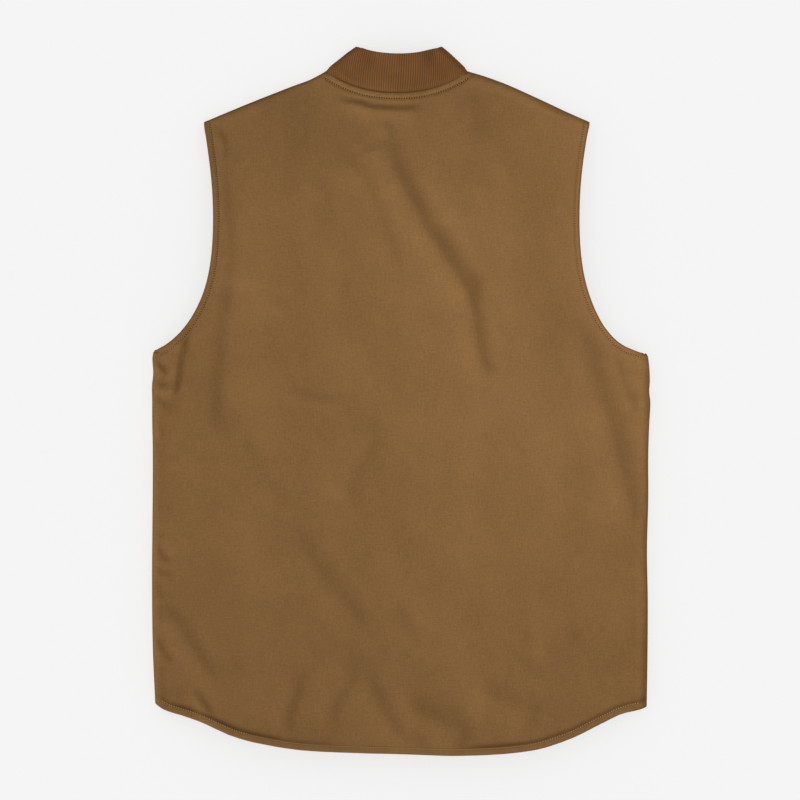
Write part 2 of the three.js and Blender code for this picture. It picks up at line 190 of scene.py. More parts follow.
STITCH_LOOKS = {
    "hem": StitchLook(0.0003, 0.1, 0.85, 1.3),
    "armhole": StitchLook(0.0006, 0.1, 0.8, 0.7),
    "neck": StitchLook(0.00085, 0.25, 0.5, 0.8),
}
HOLE_LIFT = 0.0001
HOLE_POINTS = 8
THREAD_SEGMENTS = 8
THREAD_RINGS = 6


class Fold(NamedTuple):
    """A fold of the cloth along a line: a ridge whose steep wall, on the line's left, falls to a trough."""

    width: float
    height: float
    points: tuple
    trough: float = 0.3


FOLDS = (
    # Between the shoulders
    Fold(0.013, 0.005, (
        (0.0, 0.262), (0.008, 0.243), (0.017, 0.225), (0.026, 0.208), (0.036, 0.19), (0.047, 0.173),
        (0.058, 0.157), (0.068, 0.142), (0.078, 0.124), (0.084, 0.104),
    ), 0.4),
    Fold(0.016, 0.0034, (
        (-0.016, 0.3), (-0.008, 0.288), (-0.003, 0.272), (0.002, 0.256), (0.014, 0.232),
    ), 0.2),
    Fold(0.006, 0.0012, ((-0.021, 0.312), (-0.012, 0.302), (-0.007, 0.289))),
    Fold(0.01, 0.0038, (
        (0.068, 0.146), (0.079, 0.12), (0.084, 0.1), (0.087, 0.08), (0.09, 0.06), (0.096, 0.04),
        (0.104, 0.022),
    )),
    Fold(0.011, 0.0015, (
        (-0.082, 0.274), (-0.05, 0.262), (-0.034, 0.248), (-0.024, 0.225), (-0.015, 0.2), (-0.006, 0.172),
        (0.008, 0.14),
    )),
    Fold(0.02, 0.003, (
        (0.088, 0.35), (0.09, 0.315), (0.089, 0.285), (0.081, 0.262), (0.073, 0.235), (0.076, 0.19),
    ), 0.1),
    Fold(0.035, 0.0036, ((0.1, 0.27), (0.098, 0.23), (0.096, 0.18), (0.1, 0.11)), 0.2),
    Fold(0.012, 0.0007, ((0.104, 0.3), (0.118, 0.27), (0.13, 0.24))),
    Fold(0.011, 0.0008, ((-0.086, 0.25), (-0.079, 0.22), (-0.085, 0.18))),
    Fold(0.012, 0.001, ((-0.048, 0.19), (-0.053, 0.158), (-0.059, 0.13), (-0.056, 0.1))),
    Fold(0.014, 0.001, ((-0.042, 0.105), (-0.036, 0.07), (-0.022, 0.03))),
    Fold(0.007, 0.0008, ((-0.152, 0.13), (-0.138, 0.113), (-0.116, 0.107))),
    Fold(0.007, 0.0014, (
        (-0.136, 0.026), (-0.115, 0.013), (-0.095, 0.007), (-0.07, 0.005), (-0.045, 0.012),
    )),
    # Below the neck seam
    Fold(0.0052, 0.0027, (
        (-0.078, 0.335), (-0.062, 0.3315), (-0.046, 0.3295), (-0.035, 0.3255), (-0.02, 0.3235),
        (0.0, 0.3225), (0.014, 0.3235), (0.026, 0.327),
    )),
    # Beside the left armhole
    Fold(0.005, 0.0016, ((-0.203, 0.305), (-0.193, 0.287), (-0.192, 0.272), (-0.199, 0.254))),
    Fold(0.006, 0.0014, ((-0.174, 0.272), (-0.187, 0.25), (-0.198, 0.23))),
    Fold(0.009, 0.0014, ((-0.194, 0.26), (-0.186, 0.2), (-0.184, 0.16), (-0.192, 0.115))),
    Fold(0.016, -0.0062, (
        (-0.206, -0.04), (-0.206, 0.0), (-0.204, 0.04), (-0.199, 0.09), (-0.19, 0.14),
    ), 0.0),
    Fold(0.0048, 0.0034, (
        (-0.229, 0.082), (-0.235, 0.066), (-0.24, 0.052), (-0.2435, 0.03), (-0.247, 0.0),
    )),
    Fold(0.005, 0.0022, ((-0.246, 0.02), (-0.248, 0.009), (-0.257, 0.003), (-0.266, 0.001))),
    Fold(0.009, 0.0018, ((-0.246, 0.005), (-0.25, -0.01), (-0.258, -0.027), (-0.266, -0.045))),
    # Beside the right armhole
    Fold(0.013, 0.0034, (
        (0.201, 0.098), (0.211, 0.055), (0.219, 0.028), (0.229, 0.0), (0.239, -0.03), (0.248, -0.065),
        (0.256, -0.098), (0.265, -0.14),
    )),
    Fold(0.007, 0.0015, ((0.236, 0.064), (0.244, 0.034), (0.25, 0.014), (0.262, -0.014))),
    # Along the left side
    Fold(0.006, 0.0024, ((-0.276, 0.046), (-0.264, 0.038), (-0.253, 0.03))),
    Fold(0.0045, 0.002, ((-0.276, 0.023), (-0.264, 0.0185), (-0.251, 0.019))),
    Fold(0.004, 0.0015, ((-0.276, 0.003), (-0.264, 0.0), (-0.254, -0.003))),
    Fold(0.0045, 0.0012, ((-0.275, -0.108), (-0.262, -0.114), (-0.252, -0.115))),
    Fold(0.0045, 0.0015, ((-0.275, -0.15), (-0.262, -0.168), (-0.25, -0.18))),
    Fold(0.0045, 0.0015, ((-0.275, -0.181), (-0.262, -0.187), (-0.247, -0.193))),
    Fold(0.006, 0.002, ((-0.276, -0.258), (-0.262, -0.272), (-0.249, -0.289))),
    Fold(0.011, 0.0024, (
        (-0.266, -0.208), (-0.248, -0.232), (-0.232, -0.254), (-0.216, -0.28), (-0.198, -0.308),
    )),
    Fold(0.0055, 0.0022, ((-0.228, -0.312), (-0.216, -0.33), (-0.204, -0.346))),
    Fold(0.008, 0.0008, ((-0.24, -0.058), (-0.205, -0.062), (-0.178, -0.059))),
    # Over the lower back
    Fold(0.011, 0.0009, ((-0.176, -0.034), (-0.158, -0.058), (-0.144, -0.082))),
    Fold(0.01, 0.0008, ((-0.141, -0.078), (-0.124, -0.12))),
    Fold(0.012, 0.0008, ((-0.118, -0.155), (-0.112, -0.21))),
    Fold(0.015, 0.004, ((-0.01, -0.022), (-0.024, -0.048), (-0.04, -0.077), (-0.058, -0.118))),
    Fold(0.014, 0.0024, (
        (-0.126, -0.13), (-0.104, -0.152), (-0.088, -0.176), (-0.049, -0.225), (-0.036, -0.252),
    )),
    Fold(0.012, 0.0009, ((-0.008, -0.12), (0.01, -0.185))),
    Fold(0.01, 0.0012, ((-0.008, -0.214), (0.01, -0.243), (0.026, -0.274))),
    Fold(0.012, 0.0007, ((0.129, -0.005), (0.134, -0.07))),
    Fold(0.014, 0.0007, ((0.087, -0.085), (0.091, -0.155))),
    Fold(0.012, 0.0007, ((0.16, -0.175), (0.163, -0.23))),
    # Above the hem
    Fold(0.009, 0.0026, ((-0.103, -0.292), (-0.113, -0.322), (-0.119, -0.345), (-0.128, -0.368))),
    Fold(0.011, 0.0026, ((-0.04, -0.276), (-0.053, -0.308), (-0.067, -0.332), (-0.08, -0.36))),
    Fold(0.011, 0.0024, ((-0.04, -0.276), (-0.026, -0.312), (-0.014, -0.335), (0.004, -0.37))),
    Fold(0.018, 0.0042, ((0.002, -0.315), (0.03, -0.334), (0.055, -0.345), (0.084, -0.356))),
    Fold(0.01, 0.0014, ((-0.01, -0.348), (0.01, -0.364), (0.036, -0.372))),
    Fold(0.016, 0.0034, ((0.078, -0.308), (0.105, -0.315), (0.135, -0.326), (0.16, -0.336))),
    Fold(0.013, 0.002, ((0.138, -0.273), (0.163, -0.257), (0.19, -0.238))),
    Fold(0.011, 0.001, ((0.1, -0.291), (0.135, -0.27), (0.168, -0.25))),
)
FOLD_STEEP = 0.75  # reach of a ridge's two walls, in widths
FOLD_GENTLE = 1.5
FOLD_SHIFT = 0.8  # from the ridge to the middle of the steep wall
FOLD_TROUGH = (0.75, 0.9)  # where the trough lies beyond the steep wall, and its reach
FOLD_START = (0.3, 0.04)  # a fold rises over this share of its length, or this length if it is less
FOLD_END = (0.28, 0.02)
FOLD_FADE = 0.008  # folds die out towards the seams
FOLD_POINTS = 6  # in each stretch of a fold's line
NECK_FADE = (0.003, 0.013)

# Sewn edges, as distances from the edge
LIP_FALL = 0.0022
GROOVE_WIDTH = 0.0016
ARM_SEWN = (0.8, 0.4)  # shares of the full lip and of the full stitch groove
HEM_SEWN = (0.25, 0.1)
NECK_SEWN = (0.9, 0.9)
LEDGE_AWAY = 0.0003  # the turned hem's step down to the cloth starts here, beyond the stitch line
LEDGE_FALL = 0.0036
LEDGE_SHARE = (  # how far the turned hem stands up from place to place across
    (-0.27, 0.5), (-0.255, 0.7), (-0.235, 1.0), (-0.225, 0.7), (-0.205, 1.1), (-0.17, 1.2), (-0.14, 1.0),
    (-0.128, 0.5), (-0.12, 0.6), (-0.09, 0.5), (-0.07, 0.1), (0.0, 0.0), (0.06, 0.05), (0.09, 1.2),
    (0.115, 1.7), (0.135, 1.3), (0.165, 1.3), (0.2, 1.0), (0.225, 1.0), (0.27, 0.8),
)
STITCH_MARGIN = 0.004
NECK_MARGIN = 0.002
PUCKER_REACH = 0.013
PUCKER_SHARE = 0.4  # ripples of the open edges, against those of the seams
SEAM_PUCKER_REACH = 0.02
SIDE_SHIFT = 2.0  # so that the ripples of the two sides differ
ARM_SHIFT = 1.0
TURN_WIDTH = 0.009
TURN_START = (0.002, 0.024)
RIM_BULGE = 0.0011
EDGE_SHADE = 0.002
EDGE_SHADE_TONE = 0.35  # how far a folded edge takes the painted shade colour
FOOT_AWAY = 0.0014  # painted shade at the foot of the hem's ledge, beyond the stitch line
FOOT_WIDTH = 0.0028
FOOT_SHADE_TONE = 0.7
LINE_AWAY = 0.0006  # a line of painted shade beside the neck stitches
LINE_WIDTH = 0.0012
NECK_SHADE_TONE = 0.4
# painted shade along the armhole stitches, on the left and on the right
ARM_SHADE_TONE = {-1: 0.1, 1: 0.4}

# Mesh spacing
EDGE_BAND = 0.012
EDGE_BAND_END = 3 * EDGE_BAND
EDGE_STEP = 0.0011
BACK_STEP = 0.0039
FRONT_STEP = 0.0075
RIM_RINGS = 3
RIM_ROWS = 12
CURVE_POINTS = 61
LEVEL_POINTS = 4 * CURVE_POINTS
GRADE_SAMPLES = 4001  # places at which the spacing along an edge is worked out

# Noise of the cloth: seed, shortest and longest wave, and how much longer the waves are up the vest
BROAD_RUMPLE = (11, 0.09, 0.2, 1.4)
MIDDLE_RUMPLE = (23, 0.04, 0.085, 2.2)
SMALL_RUMPLE = (37, 0.014, 0.03, 1.6)
SEAM_RIPPLE = (41, 0.012, 0.03)
EDGE_RIPPLE = (53, 0.007, 0.018)
RUMPLE_WAVES = 40
STITCH_SEED = 5
STITCH_YAW = 0.07
STITCH_UNEVEN = 0.05

# Weaves and the knit's loops
WEAVE_PITCH = 0.00062
WEAVE_WANDER = 1.6  # how far the duck's threads wander, in radians of the weave
SLUB_LONG = 70.0  # scales of the noise of uneven threads, along and across them
SLUB_FINE = 1300.0
LOOP_PITCH = 0.0013
LOOP_BEND = 2.2  # how far a loop's row bends over a rib, in radians of the row
TAPE_PITCH = 0.0012
MIDDLE_TONE = 0.5
KNIT_TONE = 0.55
TEETH_ROUGH = 0.4
CLOTH_FINISH = {"Specular IOR Level": 0.02, "Sheen Roughness": 0.6}
MIX_FIRST, MIX_SECOND, MIX_RESULT = 6, 7, 2  # the mix node's colour sockets

# Camera, straight above the middle of the picture
PICTURE_WIDTH = 0.88
PICTURE_MIDDLE = (-0.0011, 0.00165)
PICTURE_HEIGHT = 0.014
LENS = 200.0
SENSOR = 36.0
CAMERA_REACH = 4.0  # how far it sees, in distances to the vest
FLOOR_SIZE = 8.0
OVERHEAD_PLACE = (0.47, 0.16, 0.83)
OVERHEAD_SIZE = 0.4
PIECES = (
    "back_cloth", "front_cloth_left", "front_cloth_right", "collar_knit", "zip_chain", "edge_stitching",
)
FLOOR_DROP = 0.0004


def amount(name, description, default):
    """A plain number as a property."""
    return FloatProperty(name=name, description=description, default=default)


def metres(name, description, default):
    """A length as a property."""
    return FloatProperty(name=name, description=description, default=default, unit="LENGTH")


def degrees(name, description, default):
    """An angle as a property, given in degrees."""
    return FloatProperty(
        name=name, description=description, default=math.radians(default), subtype="ANGLE"
    )


def colour(name, description, default):
    """A colour property, linear red, green and blue."""
    return FloatVectorProperty(
        name=name, description=description, default=default, size=3, min=0.0, max=1.0, subtype="COLOR"
    )


class VestCloth(PropertyGroup):
    """Sizes of the duck panels."""

    wall: metres("Duck thickness", "Two plies of duck", 0.0024)
    turn_in: metres("Turned edge", "Further thickness where an open edge is turned in", 0.0012)
    lip: metres("Edge lip", "How far a turned edge stands proud of the cloth", 0.0007)
    groove: metres("Stitch groove", "How deep the thread pulls the cloth in", 0.0007)
    ledge: metres("Hem ledge", "How far the turned hem stands above the cloth beside it", 0.002)
    folds: amount("Folds", "Height of the folds, as drawn at 1", 1.0)
    broad: metres("Broad rumples", "Height of the widest waves", 0.0005)
    middle: metres("Middle rumples", "Height of the hand-sized waves", 0.00022)
    small: metres("Small rumples", "Height of the finger-sized waves", 0.00009)
    pucker: metres("Seam pucker", "Height of the ripples beside the seams", 0.0003)


class VestRibs(PropertyGroup):
    """Sizes of the rib-knit collar."""

    wall: metres("Knit thickness", "Rib knit folded double", 0.0036)
    pitch: metres("Rib pitch", "From rib to rib at the neck seam", 0.00265)
    depth: metres("Rib depth", "From a rib's crest to the valley", 0.0008)
    fan: FloatProperty(
        name="Rib fan",
        description="How far the ribs stay upright where the collar narrows",
        default=0.42,
        subtype="FACTOR",
    )
    seam: metres("Seam depth", "How far the foot lies below the duck", 0.0006)


class VestThread(PropertyGroup):
    """Sizes of the topstitching."""

    pitch: metres("Stitch pitch", "From needle hole to needle hole", 0.00275)
    length: metres("Stitch length", "Thread that shows of one stitch", 0.0019)
    thickness: metres("Thread thickness", "Diameter of the thread", 0.0009)
    hem: metres("Hem stitch", "From the hem's edge to its stitches", 0.0076)
    armhole_left: metres("Left armhole stitch", "From the left armhole's edge to its stitches", 0.0068)
    armhole_right: metres("Right armhole stitch", "From the right armhole's edge to its stitches", 0.0056)
    neck: metres("Neck stitch", "From the neck seam to its stitches", 0.007)


class VestColours(PropertyGroup):
    """Colours of the cloth, thread and stage."""

    duck_light: colour("Duck, light", "Lightest tone of the duck", (0.242, 0.128, 0.0476))
    duck_dark: colour("Duck, dark", "Darkest tone of the duck", (0.1835, 0.0965, 0.0351))
    # painted shade: the colour that folded edges, the hem ledge's foot and the stitch lines are darkened
    # towards
    duck_shade: colour("Duck, edges", "Folded edges and the foot of the hem", (0.105, 0.053, 0.0175))
    # painted shade: the knit is lit on the rib crests and shaded in the valleys between them
    knit_light: colour("Knit, light", "Crest of a rib", (0.212, 0.0965, 0.0325))
    knit_dark: colour("Knit, dark", "Valley between ribs", (0.144, 0.0615, 0.0205))
    thread: colour("Thread", "Topstitching", (0.39, 0.222, 0.092))
    hole: colour("Needle hole", "Shadow in a needle hole", (0.04, 0.017, 0.006))
    tape: colour("Zip tape", "Woven tape", (0.105, 0.053, 0.021))
    teeth: colour("Zip teeth", "Brass teeth", (0.42, 0.3, 0.14))
    floor: colour("Floor", "Pale floor", (0.8, 0.8, 0.8))


class VestLight(PropertyGroup):
    """Light of the stage."""

    sky: amount("Sky", "Strength of the even light", 0.28)
    floor: amount("Floor light", "Strength of the light on the floor", 2.7)
    sun: amount("Key", "Strength of the soft key light", 2.75)
    overhead: FloatProperty(
        name="Overhead", description="Power of the soft box above the vest", default=5.35, unit="POWER"
    )
    elevation: degrees("Key elevation", "Angle of the key light above the floor", 26)
    azimuth: degrees("Key azimuth", "Angle of the key light from the collar end towards the right", 238)
    softness: degrees("Key softness", "Angle that the key light fills", 25)


# Small shapes


def smoothstep(value, low, high):
    t = np.clip((value - low) / (high - low), 0.0, 1.0)
    return t * t * (3.0 - 2.0 * t)


def quarter_round(q):
    return np.sqrt(1.0 - (1.0 - np.clip(q, 0.0, 1.0)) ** 2)


def quarter_sine(q):
    return np.sin(np.clip(q, 0.0, 1.0) * math.pi / 2)


def bell(q):
    return np.exp(-(q**2))


def mix(a, b, share):
    return a + (b - a) * share


def read_table(rows, place):
    """A smooth curve through a table's rows, read at places along it."""
    along, value = np.array(rows).T
    last = len(along) - 1
    before = np.maximum(np.arange(last + 1) - 1, 0)
    after = np.minimum(np.arange(last + 1) + 1, last)
    slope = (value[after] - value[before]) / (along[after] - along[before])
    at = np.clip(place, along[0], along[-1])
    i = np.clip(np.searchsorted(along, at) - 1, 0, last - 1)
    span = along[i + 1] - along[i]
    t = (at - along[i]) / span
    rise = value[i + 1] - value[i]
    bend = slope[i] * span - rise
    bend_back = rise - slope[i + 1] * span
    return value[i] + rise * t + t * (1 - t) * (bend * (1 - t) + bend_back * t)


def rumple(noise, x, y):
    """Seeded random waves of unit height, with lengths between the two that the noise names."""
    seed, short, long, stretch = noise
    random = np.random.default_rng(seed)
    total = np.zeros(np.shape(x))
    for _ in range(RUMPLE_WAVES):
        size = random.uniform(short, long)
        angle, phase = random.uniform(0.0, math.tau, 2)
        total += np.cos((x * math.cos(angle) + y / stretch * math.sin(angle)) * math.tau / size + phase)
    return total / math.sqrt(RUMPLE_WAVES / 2)


def ripple(noise, along):
    """Seeded random waves along a line."""
    seed, short, long = noise
    random = np.random.default_rng(seed)
    total = np.zeros(np.shape(along))
    for _ in range(RUMPLE_WAVES):
        size = random.uniform(short, long)
        total += np.cos(along * math.tau / size + random.uniform(0.0, math.tau))
    return total / math.sqrt(RUMPLE_WAVES / 2)


# Lines of the outline


def bezier(*controls):
    """Points along a Bezier curve."""
    t = np.linspace(0.0, 1.0, CURVE_POINTS)[:, None]
    curve = [np.array(point) + 0.0 * t for point in controls]
    while len(curve) > 1:
        curve = [mix(a, b, t) for a, b in zip(curve, curve[1:])]
    return curve[0]


class Line:
    """A line through points, read by its length."""

    def __init__(self, points):
        self.points = np.asarray(points, float)
        steps = np.linalg.norm(np.diff(self.points, axis=0), axis=1)
        self.lengths = np.concatenate([[0.0], np.cumsum(steps)])
        self.length = self.lengths[-1]

    def at(self, distance):
        return np.stack([np.interp(distance, self.lengths, axis) for axis in self.points.T], axis=-1)

    def nearest(self, x, y):
        """How far places are from the line, how far along it they lie, and whether on its left."""
        best = np.full(np.shape(x), np.inf)
        along = np.zeros(np.shape(x))
        on_left = np.zeros(np.shape(x), bool)
        for start, end, done in zip(self.points, self.points[1:], self.lengths):
            run = end - start
            size = math.hypot(*run)
            t = np.clip(((x - start[0]) * run[0] + (y - start[1]) * run[1]) / size**2, 0.0, 1.0)
            gap = np.hypot(x - start[0] - t * run[0], y - start[1] - t * run[1])
            closer = gap < best
            best = np.where(closer, gap, best)
            along = np.where(closer, done + t * size, along)
            left = run[0] * (y - start[1]) > run[1] * (x - start[0])
            on_left = np.where(closer, left, on_left)
        return best, along, on_left

    def moved_left(self, distance):
        """The line that runs beside this one, to its left."""
        run = np.gradient(self.points, axis=0)
        run /= np.linalg.norm(run, axis=1)[:, None]
        return Line(self.points + distance * np.stack([-run[:, 1], run[:, 0]], axis=1))


def lean(y):
    return LEAN * smoothstep(y, *LEAN_SPAN)


def hem_tilt(x):
    """How far a hem lies below its cut near its corners."""
    return np.where(x < 0, HEM_TILT[-1], HEM_TILT[1]) * smoothstep(np.abs(x), *HEM_TILT_SPAN)


def corner_drop(x, y):
    """How far the outline lies below its cut near the corners of armholes and hem."""
    outward = np.minimum(np.abs(x) / ARM_CORNER[0], 1.0)
    tilt = outward * np.where(x < 0, ARM_TILT[-1], ARM_TILT[1]) * bell((y - ARM_CORNER[1]) / ARM_TILT_SPAN)
    middle, width, depth = ARM_DIP
    span = smoothstep(y, *ARM_DIP_RISE) * (1 - smoothstep(y, *ARM_DIP_FALL))
    dip = depth * bell((x - middle) / width) * span
    return tilt + dip + hem_tilt(x) * bell((y - HEM_CORNER[1]) / HEM_TILT_RISE)


def side_wave(y, side):
    return read_table(SIDE_WAVES[side], y)


def on_half(x, y):
    """Places as they lie on the half outline."""
    height = y
    for _ in range(HALF_ROUNDS):
        height = y + corner_drop(x, height)
    wave = np.where(x < 0, side_wave(height, -1), side_wave(height, 1))
    return np.abs(x - lean(height) - wave), height


def placed(points, side):
    """Points of the half outline on the left or right, side -1 or 1."""
    x, y = points[:, 0], points[:, 1]
    across = side * x + lean(y) + side_wave(y, side)
    return np.stack([across, y - corner_drop(across, y)], axis=1)


def side_seam():
    """The side seam, from the hem up to the armhole's corner."""
    middle = ((HEM_CORNER[0] + ARM_CORNER[0]) / 2 + 2 * SIDE_BULGE, (HEM_CORNER[1] + ARM_CORNER[1]) / 2)
    return bezier(HEM_CORNER, middle, ARM_CORNER)


def armhole(inset):
    """The armhole's edge, from its corner up to the shoulder's tip."""
    corner, tip = np.array(ARM_CORNER), np.array(SHOULDER_TIP)
    waist = np.array(ARM_WAIST) - (inset, 0.0)
    below = waist - (0.0, ARM_WAIST_PULL["down"])
    above = waist + (0.0, ARM_WAIST_PULL["up"])
    lower = bezier(corner, corner + ARM_CORNER_PULL, below, waist)
    upper = bezier(waist, above, tip + SHOULDER_PULL, tip)
    return np.concatenate([lower, upper[1:]])


def neck_y(line, part, half):
    """Where the neck seam or rim runs over a distance from the middle line; part is back or front."""
    q = np.minimum(np.abs(half) / line.half_width, 1.0)
    return mix(getattr(line, part), line.side, q ** NECK_POWER[part])


def back_hem_y(x):
    return HEM_CORNER[1] - read_table(HEM_DROP, x) - hem_tilt(x)


def front_hem_y(x):
    outward = np.minimum(np.abs(x) / HEM_CORNER[0], 1.0)
    return HEM_CORNER[1] - FRONT_DROP * (1 - outward**FRONT_DROP_POWER) - hem_tilt(x)


def top_y(part, x):
    """The upper edge of a panel over a place across it: the shoulder, then the neck."""
    half = np.abs(x - LEAN)
    share = (half - NECK_POINT[0]) / (SHOULDER_TIP[0] - NECK_POINT[0])
    wave = np.where(x < LEAN, read_table(SHOULDER_WAVES[-1], share), read_table(SHOULDER_WAVES[1], share))
    shoulder = mix(NECK_POINT[1], SHOULDER_TIP[1], share) + wave
    return np.where(half < NECK_POINT[0], neck_y(NECK, part, half), shoulder)


def level_line(height, start, end):
    """A line whose height is given over each place across."""
    x = np.linspace(start, end, LEVEL_POINTS)
    return Line(np.stack([x, height(x)], axis=1))


SIDE_SEAM = Line(side_seam())
BACK_ARMHOLE = Line(armhole(0.0))
FRONT_ARMHOLE = Line(armhole(FRONT_ARM_INSET))
BACK_OUTLINE = Line(np.concatenate([SIDE_SEAM.points, BACK_ARMHOLE.points[1:]]))
FRONT_OUTLINE = Line(np.concatenate([SIDE_SEAM.points, FRONT_ARMHOLE.points[1:]]))
BACK_HEM = level_line(back_hem_y, -HEM_CORNER[0], HEM_CORNER[0])
FRONT_HEM = level_line(front_hem_y, -HEM_CORNER[0], HEM_CORNER[0])
BACK_NECK = level_line(lambda x: top_y("back", x), LEAN + NECK_POINT[0], LEAN - NECK_POINT[0])
SHOULDERS = [
    level_line(lambda x: top_y("back", x), LEAN + side * NECK_POINT[0], LEAN + side * SHOULDER_TIP[0])
    for side in (-1, 1)
]


# Heights of the panels


def seam_distances(x, y):
    """Distances to the side seam and to the shoulder seam."""
    shoulder = np.minimum(*(line.nearest(x, y)[0] for line in SHOULDERS))
    return SIDE_SEAM.nearest(*on_half(x, y))[0], shoulder


def smooth_line(points):
    """A smooth line through a few points."""
    number = np.arange(len(points))
    at = np.linspace(0, len(points) - 1, FOLD_POINTS * (len(points) - 1) + 1)
    axes = [read_table(np.stack([number, axis], axis=1), at) for axis in np.array(points).T]
    return Line(np.stack(axes, axis=1))


def fold_relief(x, y):
    """How the folds raise or lower the cloth."""
    relief = np.zeros(np.shape(x))
    for fold in FOLDS:
        line = smooth_line(fold.points)
        gap, along, on_left = line.nearest(x, y)
        start = min(FOLD_START[0] * line.length, FOLD_START[1])
        end = min(FOLD_END[0] * line.length, FOLD_END[1])
        taper = smoothstep(along, 0.0, start) * smoothstep(line.length - along, 0.0, end)
        q = np.where(on_left, gap, -gap) / fold.width
        ridge = q + FOLD_SHIFT
        shape = bell(ridge / np.where(ridge > 0, FOLD_STEEP, FOLD_GENTLE))
        shape -= fold.trough * bell((q - FOLD_TROUGH[0]) / FOLD_TROUGH[1])
        relief += fold.height * taper * shape
    return relief


def arm_stitch(x, thread):
    """How far the armhole's stitches are from its edge, on the left and on the right."""
    return np.where(np.asarray(x) < 0, thread.armhole_left, thread.armhole_right)


def stitch_groove(distance, stitch):
    return bell((distance - stitch) / GROOVE_WIDTH)


def edge_lip(distance, stitch):
    """The round of a turned edge, from the edge to its stitches."""
    return np.sqrt(np.clip(1 - (2 * distance / stitch - 1) ** 2, 0.0, 1.0))


def back_height(x, y, cloth, thread):
    """Height of the back's outer face, with its folds, rumples, puckers and sewn edges."""
    side, shoulder = seam_distances(x, y)
    arm, along_arm, _ = BACK_ARMHOLE.nearest(*on_half(x, y))
    hem, along_hem, _ = BACK_HEM.nearest(x, y)
    neck = BACK_NECK.nearest(x, y)[0]
    roll = quarter_round(side / EDGE_ROLL) * quarter_round(shoulder / EDGE_ROLL)
    spread = quarter_sine(side / SIDE_REACH) * quarter_sine(shoulder / SHOULDER_REACH)
    sag = 1 - ARM_SAG_SHARE * (1 - smoothstep(arm, 0.0, ARM_SAG_REACH))
    crown = read_table(CROWN, y) - SEAM_HEIGHT - EDGE_RISE
    height = SEAM_HEIGHT + SEAM_GAP / 2 + EDGE_RISE * roll + crown * spread * sag
    calm = smoothstep(np.minimum(side, shoulder), 0.0, FOLD_FADE) * smoothstep(neck, *NECK_FADE)
    height += calm * cloth.folds * fold_relief(x, y)
    height += calm * cloth.broad * rumple(BROAD_RUMPLE, x, y)
    height += calm * cloth.middle * rumple(MIDDLE_RUMPLE, x, y)
    height += calm * cloth.small * rumple(SMALL_RUMPLE, x, y)
    sewn = (
        (arm, arm_stitch(x, thread), ARM_SEWN),
        (hem, thread.hem, HEM_SEWN),
        (neck, thread.neck, NECK_SEWN),
    )
    open_edge = smoothstep(np.minimum(side, shoulder), *TURN_START)
    for distance, stitch, (lip, groove) in sewn:
        height += lip * cloth.lip * edge_lip(distance, stitch) * open_edge
        height -= groove * cloth.groove * stitch_groove(distance, stitch)
    turned = np.exp(-np.maximum(hem - thread.hem - LEDGE_AWAY, 0.0) / LEDGE_FALL)
    height += cloth.ledge * turned * read_table(LEDGE_SHARE, x) * open_edge
    beside_seam = bell((side - EDGE_ROLL) / SEAM_PUCKER_REACH) * smoothstep(side, 0.0, EDGE_ROLL)
    height += cloth.pucker * beside_seam * ripple(SEAM_RIPPLE, y + SIDE_SHIFT * np.sign(x))
    for distance, along in ((arm, along_arm + ARM_SHIFT * np.sign(x)), (hem, along_hem)):
        near = PUCKER_SHARE * cloth.pucker * np.exp(-distance / PUCKER_REACH)
        height += near * ripple(EDGE_RIPPLE, along)
    return height


def front_height(x, y, cloth, thread):
    """Height of the front's outer face, which lies flat and turns up to the seams."""
    side, shoulder = seam_distances(x, y)
    roll = quarter_round(side / EDGE_ROLL) * quarter_round(shoulder / EDGE_ROLL)
    height = (SEAM_HEIGHT - SEAM_GAP / 2) * (1 - roll)
    arm = FRONT_ARMHOLE.nearest(*on_half(x, y))[0]
    hem = FRONT_HEM.nearest(x, y)[0]
    for distance, stitch in ((arm, arm_stitch(x, thread)), (hem, thread.hem)):
        height += cloth.groove * stitch_groove(distance, stitch)
    return height


# Meshes


def graded(length, step, fine_start=False, fine_end=False):
    """Stations along a length, close together near the ends that are named."""
    d = np.linspace(0.0, length, GRADE_SAMPLES)
    near = np.full(d.shape, np.inf)
    if fine_start:
        near = np.minimum(near, d)
    if fine_end:
        near = np.minimum(near, length - d)
    spacing = mix(EDGE_STEP, step, smoothstep(near, EDGE_BAND, EDGE_BAND_END))
    density = np.concatenate([[0.0], np.cumsum(np.diff(d) * 2 / (spacing[1:] + spacing[:-1]))])
    count = max(1, round(density[-1]))
    return np.interp(np.linspace(0.0, density[-1], count + 1), density, d)


def run_on(*stretches):
    """Stations of stretches that follow each other, as one list."""
    stations = stretches[0]
    for stretch in stretches[1:]:
        stations = np.concatenate([stations, stations[-1] + stretch[1:]])
    return stations


def patch(left, right, bottom, top, across, up):
    """A grid of places inside four edges; across and up are the shares of its columns and rows."""
    s, v = across[None, :, None], up[:, None, None]
    corners = mix(mix(bottom[0], bottom[-1], s), mix(top[0], top[-1], s), v)
    return mix(bottom[None], top[None], v) + mix(left[:, None], right[:, None], s) - corners


def grid_normals(face):
    """Unit normals of a grid of points, on the side that columns then rows turn to."""
    across = np.gradient(face, axis=1)
    up = np.gradient(face, axis=0)
    normals = np.cross(across, up)
    return normals / np.linalg.norm(normals, axis=2)[..., None]


def border(rows, columns):
    """Numbers of a grid's border points, turning as the grid does."""
    number = np.arange(rows * columns).reshape(rows, columns)
    return np.concatenate([number[0, :-1], number[:-1, -1], number[-1, :0:-1], number[:0:-1, 0]])


